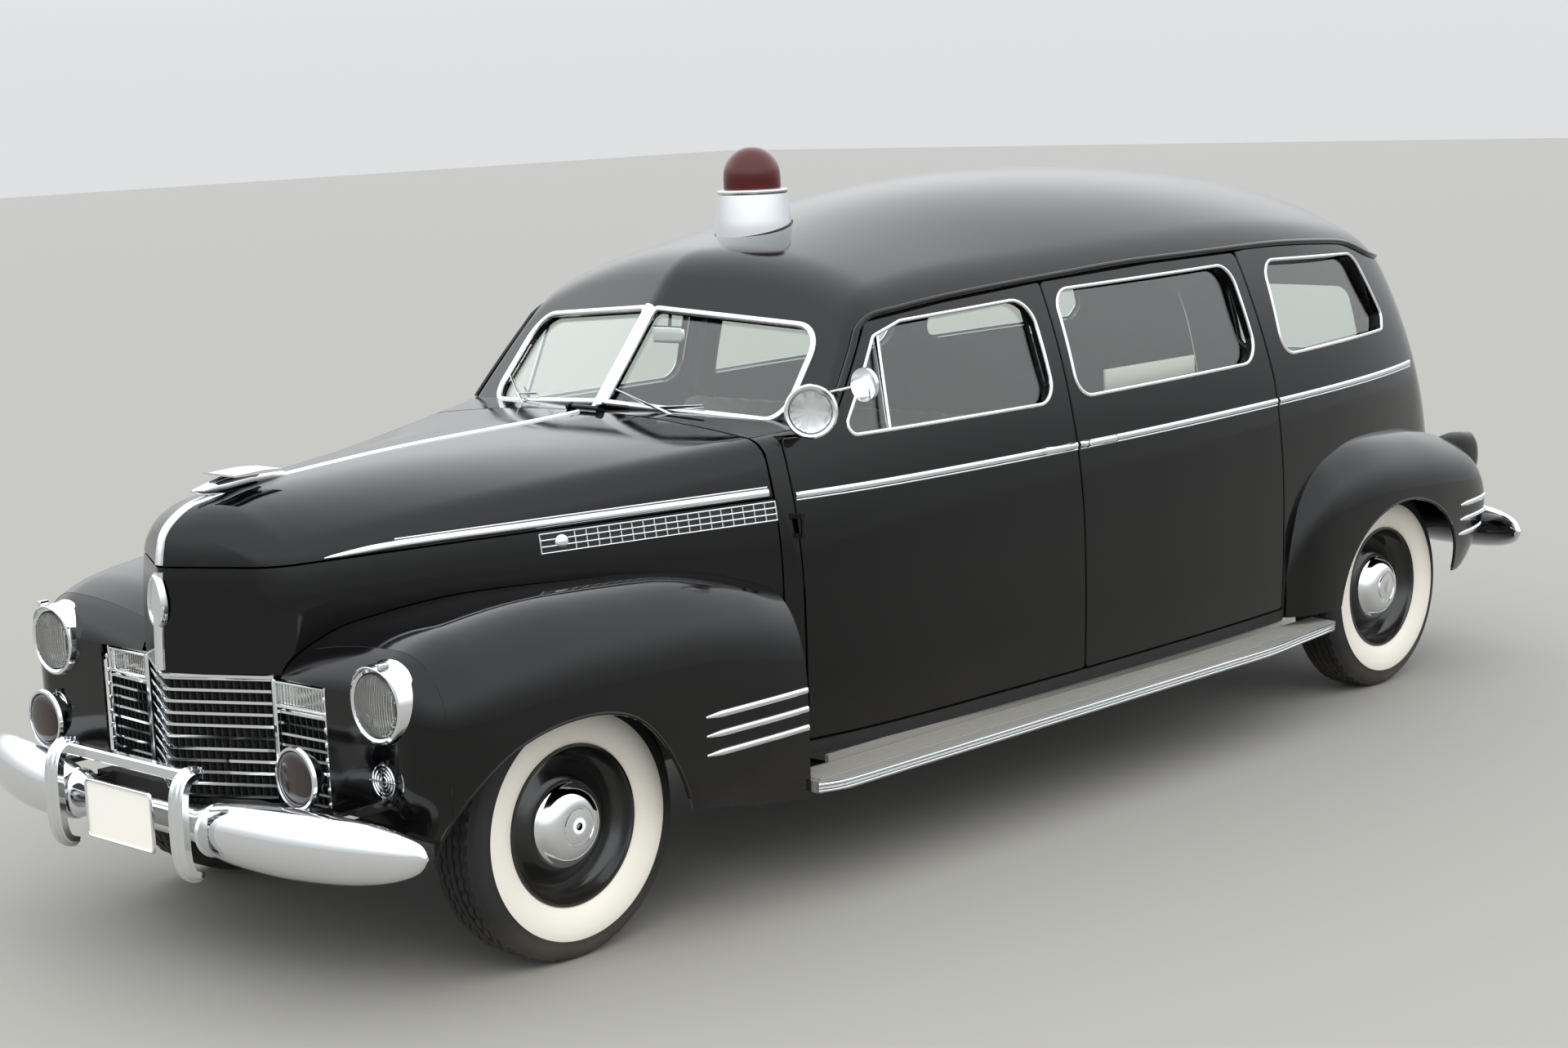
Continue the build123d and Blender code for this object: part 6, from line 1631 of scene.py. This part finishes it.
# Ribs along the running board, the outermost one shorter, and three chrome beads round its outer edge
RIB_PITCH, RIB_HALF, RIB_FRONT = 0.020, 0.0085, -1.262
first_rib = block((0.905 - RIB_HALF, RIB_FRONT, 0.358), (0.905 + RIB_HALF, 1.30, 0.3645), 0.003)
ribs = grown(step_tree("rib_row", step_rubber), *first_rib, Count=5, Step=(RIB_PITCH, 0.0, 0.0))
outer_rib = block((1.005 - RIB_HALF, RIB_FRONT, 0.358), (1.005 + RIB_HALF, 1.0, 0.3645), 0.003)
both_sides("running_board_ribs", joined([ribs, outer_rib]), step_rubber, "car", slot="step_rubber")
board_plan = [(1.018, -1.281), (1.040, -1.235), (1.050, -1.16)] + [
    (1.051, y) for y in np.linspace(-1.05, 0.95, 11)]
board_plan += [(1.045, 1.06), (1.020, 1.26), (0.998, 1.44), (0.980, 1.512)]
edge_line = flowing(board_plan, 90)
edge_ups = [unit((1.0, -0.9, 0))] * 3 + [(1.0, 0.0, 0.0)] * 84 + [unit((1.0, 0.5, 0))] * 3
edge_beads = [sweep([(x, y, z) for x, y in edge_line], edge_ups, half_round(0.0085, high, 5))
              for z, high in ((0.3525, 0.008), (0.3425, 0.006), (0.3325, 0.006))]
both_sides("running_board_edge", joined(edge_beads), chrome, "car", slot="chrome")

# Half the bench's width, and the width of one sewn channel
SEAT_HALF, CHANNEL = 0.697, 0.10


def seat_pad(outline, half, radius, puff):
    """A stuffed pad: a crowned section carried across the car, with sewn channels and drawn-in ends."""
    loop = np.array(resampled([tuple(p) for p in rounded(outline, radius)], 0.03))
    middle = loop.mean(axis=0)
    rings = []
    for x in np.concatenate([[-half], np.linspace(-half + 0.006, half - 0.006, 139), [half]]):
        end = min(1.0, (half - abs(x)) / 0.05)
        size = 0.90 + 0.10 * math.sqrt(max(0.0, 1 - (1 - end) ** 2))
        lift = puff * (abs(math.sin(math.pi * (x + half) / CHANNEL)) ** 0.5 - 1)
        away = loop - middle
        reach = np.linalg.norm(away, axis=1)[:, None]
        ring = middle + away * size + away / reach * lift * end
        rings.append([(x, p[0], p[1]) for p in ring])
    return tube(rings)


cushion_outline = [(-0.635, 0.70), (-0.640, 0.855), (-0.560, 0.900), (-0.205, 0.885), (-0.16, 0.70)]
cushion = piece("seat_cushion", *seat_pad(cushion_outline, SEAT_HALF, 0.04, 0.010), leather, "car",
                replaced=["front_seat"], slot="leather", sharp=math.radians(60))
backrest_outline = [(-0.225, 0.86), (-0.188, 1.0), (-0.12, 1.235), (-0.08, 1.272), (-0.032, 1.266),
                    (-0.004, 1.236), (-0.024, 1.0), (-0.064, 0.70), (-0.16, 0.70)]
backrest = piece("seat_backrest", *seat_pad(backrest_outline, SEAT_HALF, 0.03, 0.008), leather, "car",
                 slot="leather", sharp=math.radians(60))
piece("seat_base", *block((-0.68, -0.600, 0.515), (0.68, -0.07, 0.70), 0.02), frame_paint, "car",
      slot="frame_paint")

# A blank name board on two feet behind the left centre window, and the mirror over the windscreen
board_parts = [block((0.786, 0.42, 1.305), (0.796, 0.93, 1.376), 0.002),
               block((0.780, 0.56, 1.262), (0.792, 0.585, 1.306)),
               block((0.780, 0.815, 1.262), (0.792, 0.84, 1.306)),
               block((0.776, 0.50, 1.256), (0.836, 0.90, 1.264))]
piece("name_board", *joined(board_parts), white_enamel, "centre door left")
mirror_stem = [(-0.05, -0.765, 1.60), (-0.035, -0.775, 1.64), (-0.02, -0.79, 1.68)]
mirror_parts = [block((-0.125, -0.775, 1.548), (0.02, -0.760, 1.602), 0.006),
                sweep(mirror_stem, FORWARD, circle(0.006, 8))]
piece("inside_mirror", *joined(mirror_parts), chrome, "car")

# Closing plate at the back of each front wing, and the tail door's window frame and handle
back_line = [(p[0], p[2]) for p in wing_ring(front_columns, -1.289, 0.004)]
both_sides("front_wing_back", tube([[(x, y, z) for x, z in back_line] for y in (-1.2935, -1.2875)]),
           black_paint, "car")
piece("tail_window_frame", *ring_strip(tail, tail_window, 0.014, 0.006), chrome, "tail door", slot="chrome")
latch, latch_out = tail.point(-0.40, 1.08), tail.normal(-0.40, 1.08)
spindle_profile = [(0.0, 0.0), (0.020, 0.0), (0.019, 0.006), (0.010, 0.012), (0.009, 0.040), (0.0, 0.040)]
grip_path = [latch + latch_out * 0.040 + (x, 0, 0) for x in np.linspace(-0.05, 0.05, 9)]
grip_section = [(0.009 * math.cos(a), 0.006 * math.sin(a)) for a in full_turn(16)]
handle_parts = [lathe(spindle_profile, latch, latch_out, 24),
                sweep(grip_path, latch_out, grip_section, scales=[0.6, 0.9, 1, 1, 1, 1, 1, 0.9, 0.6])]
piece("tail_door_handle", *joined(handle_parts), chrome, "tail door", slot="chrome")

# Camera, stage and light

# The camera, as fitted to the photograph
azimuth, elevation, roll = math.radians(43.93), math.radians(9.16), math.radians(-2.28)
look = Vector((-math.sin(azimuth) * math.cos(elevation), math.cos(azimuth) * math.cos(elevation),
               -math.sin(elevation)))
right = look.cross(Vector((0, 0, 1))).normalized()
up = right.cross(look)
right, up = right * math.cos(roll) + up * math.sin(roll), up * math.cos(roll) - right * math.sin(roll)
camera_data = bpy.data.cameras.new("camera")
camera_data.lens = 63.67
camera_data.sensor_width = 36
camera_data.clip_end = 200
camera = bpy.data.objects.new("camera", camera_data)
camera.matrix_world = Matrix((right, up, -look)).transposed().to_4x4()
camera.location = (6.3976, -6.9645, 2.3836)
scene.collection.objects.link(camera)
scene.camera = camera

FLOOR_HALF = 60
floor_corners = [(-FLOOR_HALF, -FLOOR_HALF, 0), (FLOOR_HALF, -FLOOR_HALF, 0), (FLOOR_HALF, FLOOR_HALF, 0),
                 (-FLOOR_HALF, FLOOR_HALF, 0)]
floor_mesh = bpy.data.meshes.new("floor")
floor_mesh.from_pydata(floor_corners, [], [(0, 1, 2, 3)])
floor = bpy.data.objects.new("floor", floor_mesh)
floor_mesh.materials.append(material("studio_floor", "#8b8a86", rough=0.85))
scene.collection.objects.link(floor)

# A studio sky that grows brighter towards its top
world = bpy.data.worlds.new("studio")
world.use_nodes = True
sky = world.node_tree
aim = add(sky, "ShaderNodeTexCoord")
height = add(sky, "ShaderNodeSeparateXYZ", {"Vector": aim.outputs["Generated"]})
rise = add(sky, "ShaderNodeMapRange", {"Value": height.outputs["Z"]}, interpolation_type="SMOOTHSTEP")
for key, value in (("From Min", 0.0), ("From Max", 0.42), ("To Min", 0.86), ("To Max", 2.3)):
    rise.inputs[key].default_value = value
backdrop = sky.nodes["Background"]
backdrop.inputs["Color"].default_value = linear("#eef0f2")
sky.links.new(rise.outputs["Result"], backdrop.inputs["Strength"])
scene.world = world
scene.view_settings.view_transform = "Standard"


def lamp(name, place, target, size, power, colour):
    """A soft rectangular light that doesn't show in the lacquer."""
    data = bpy.data.lights.new(name, "AREA")
    data.shape, data.size, data.size_y, data.energy = "RECTANGLE", size[0], size[1], power
    data.color = linear(colour)[:3]
    made = bpy.data.objects.new(name, data)
    made.location = place
    made.visible_glossy = False
    made.rotation_euler = (Vector(target) - Vector(place)).to_track_quat("-Z", "Y").to_euler()
    scene.collection.objects.link(made)


lamp("key", (7, -6, 8), (0, 0, 0.8), (9, 7), 420, "#fff6ea")
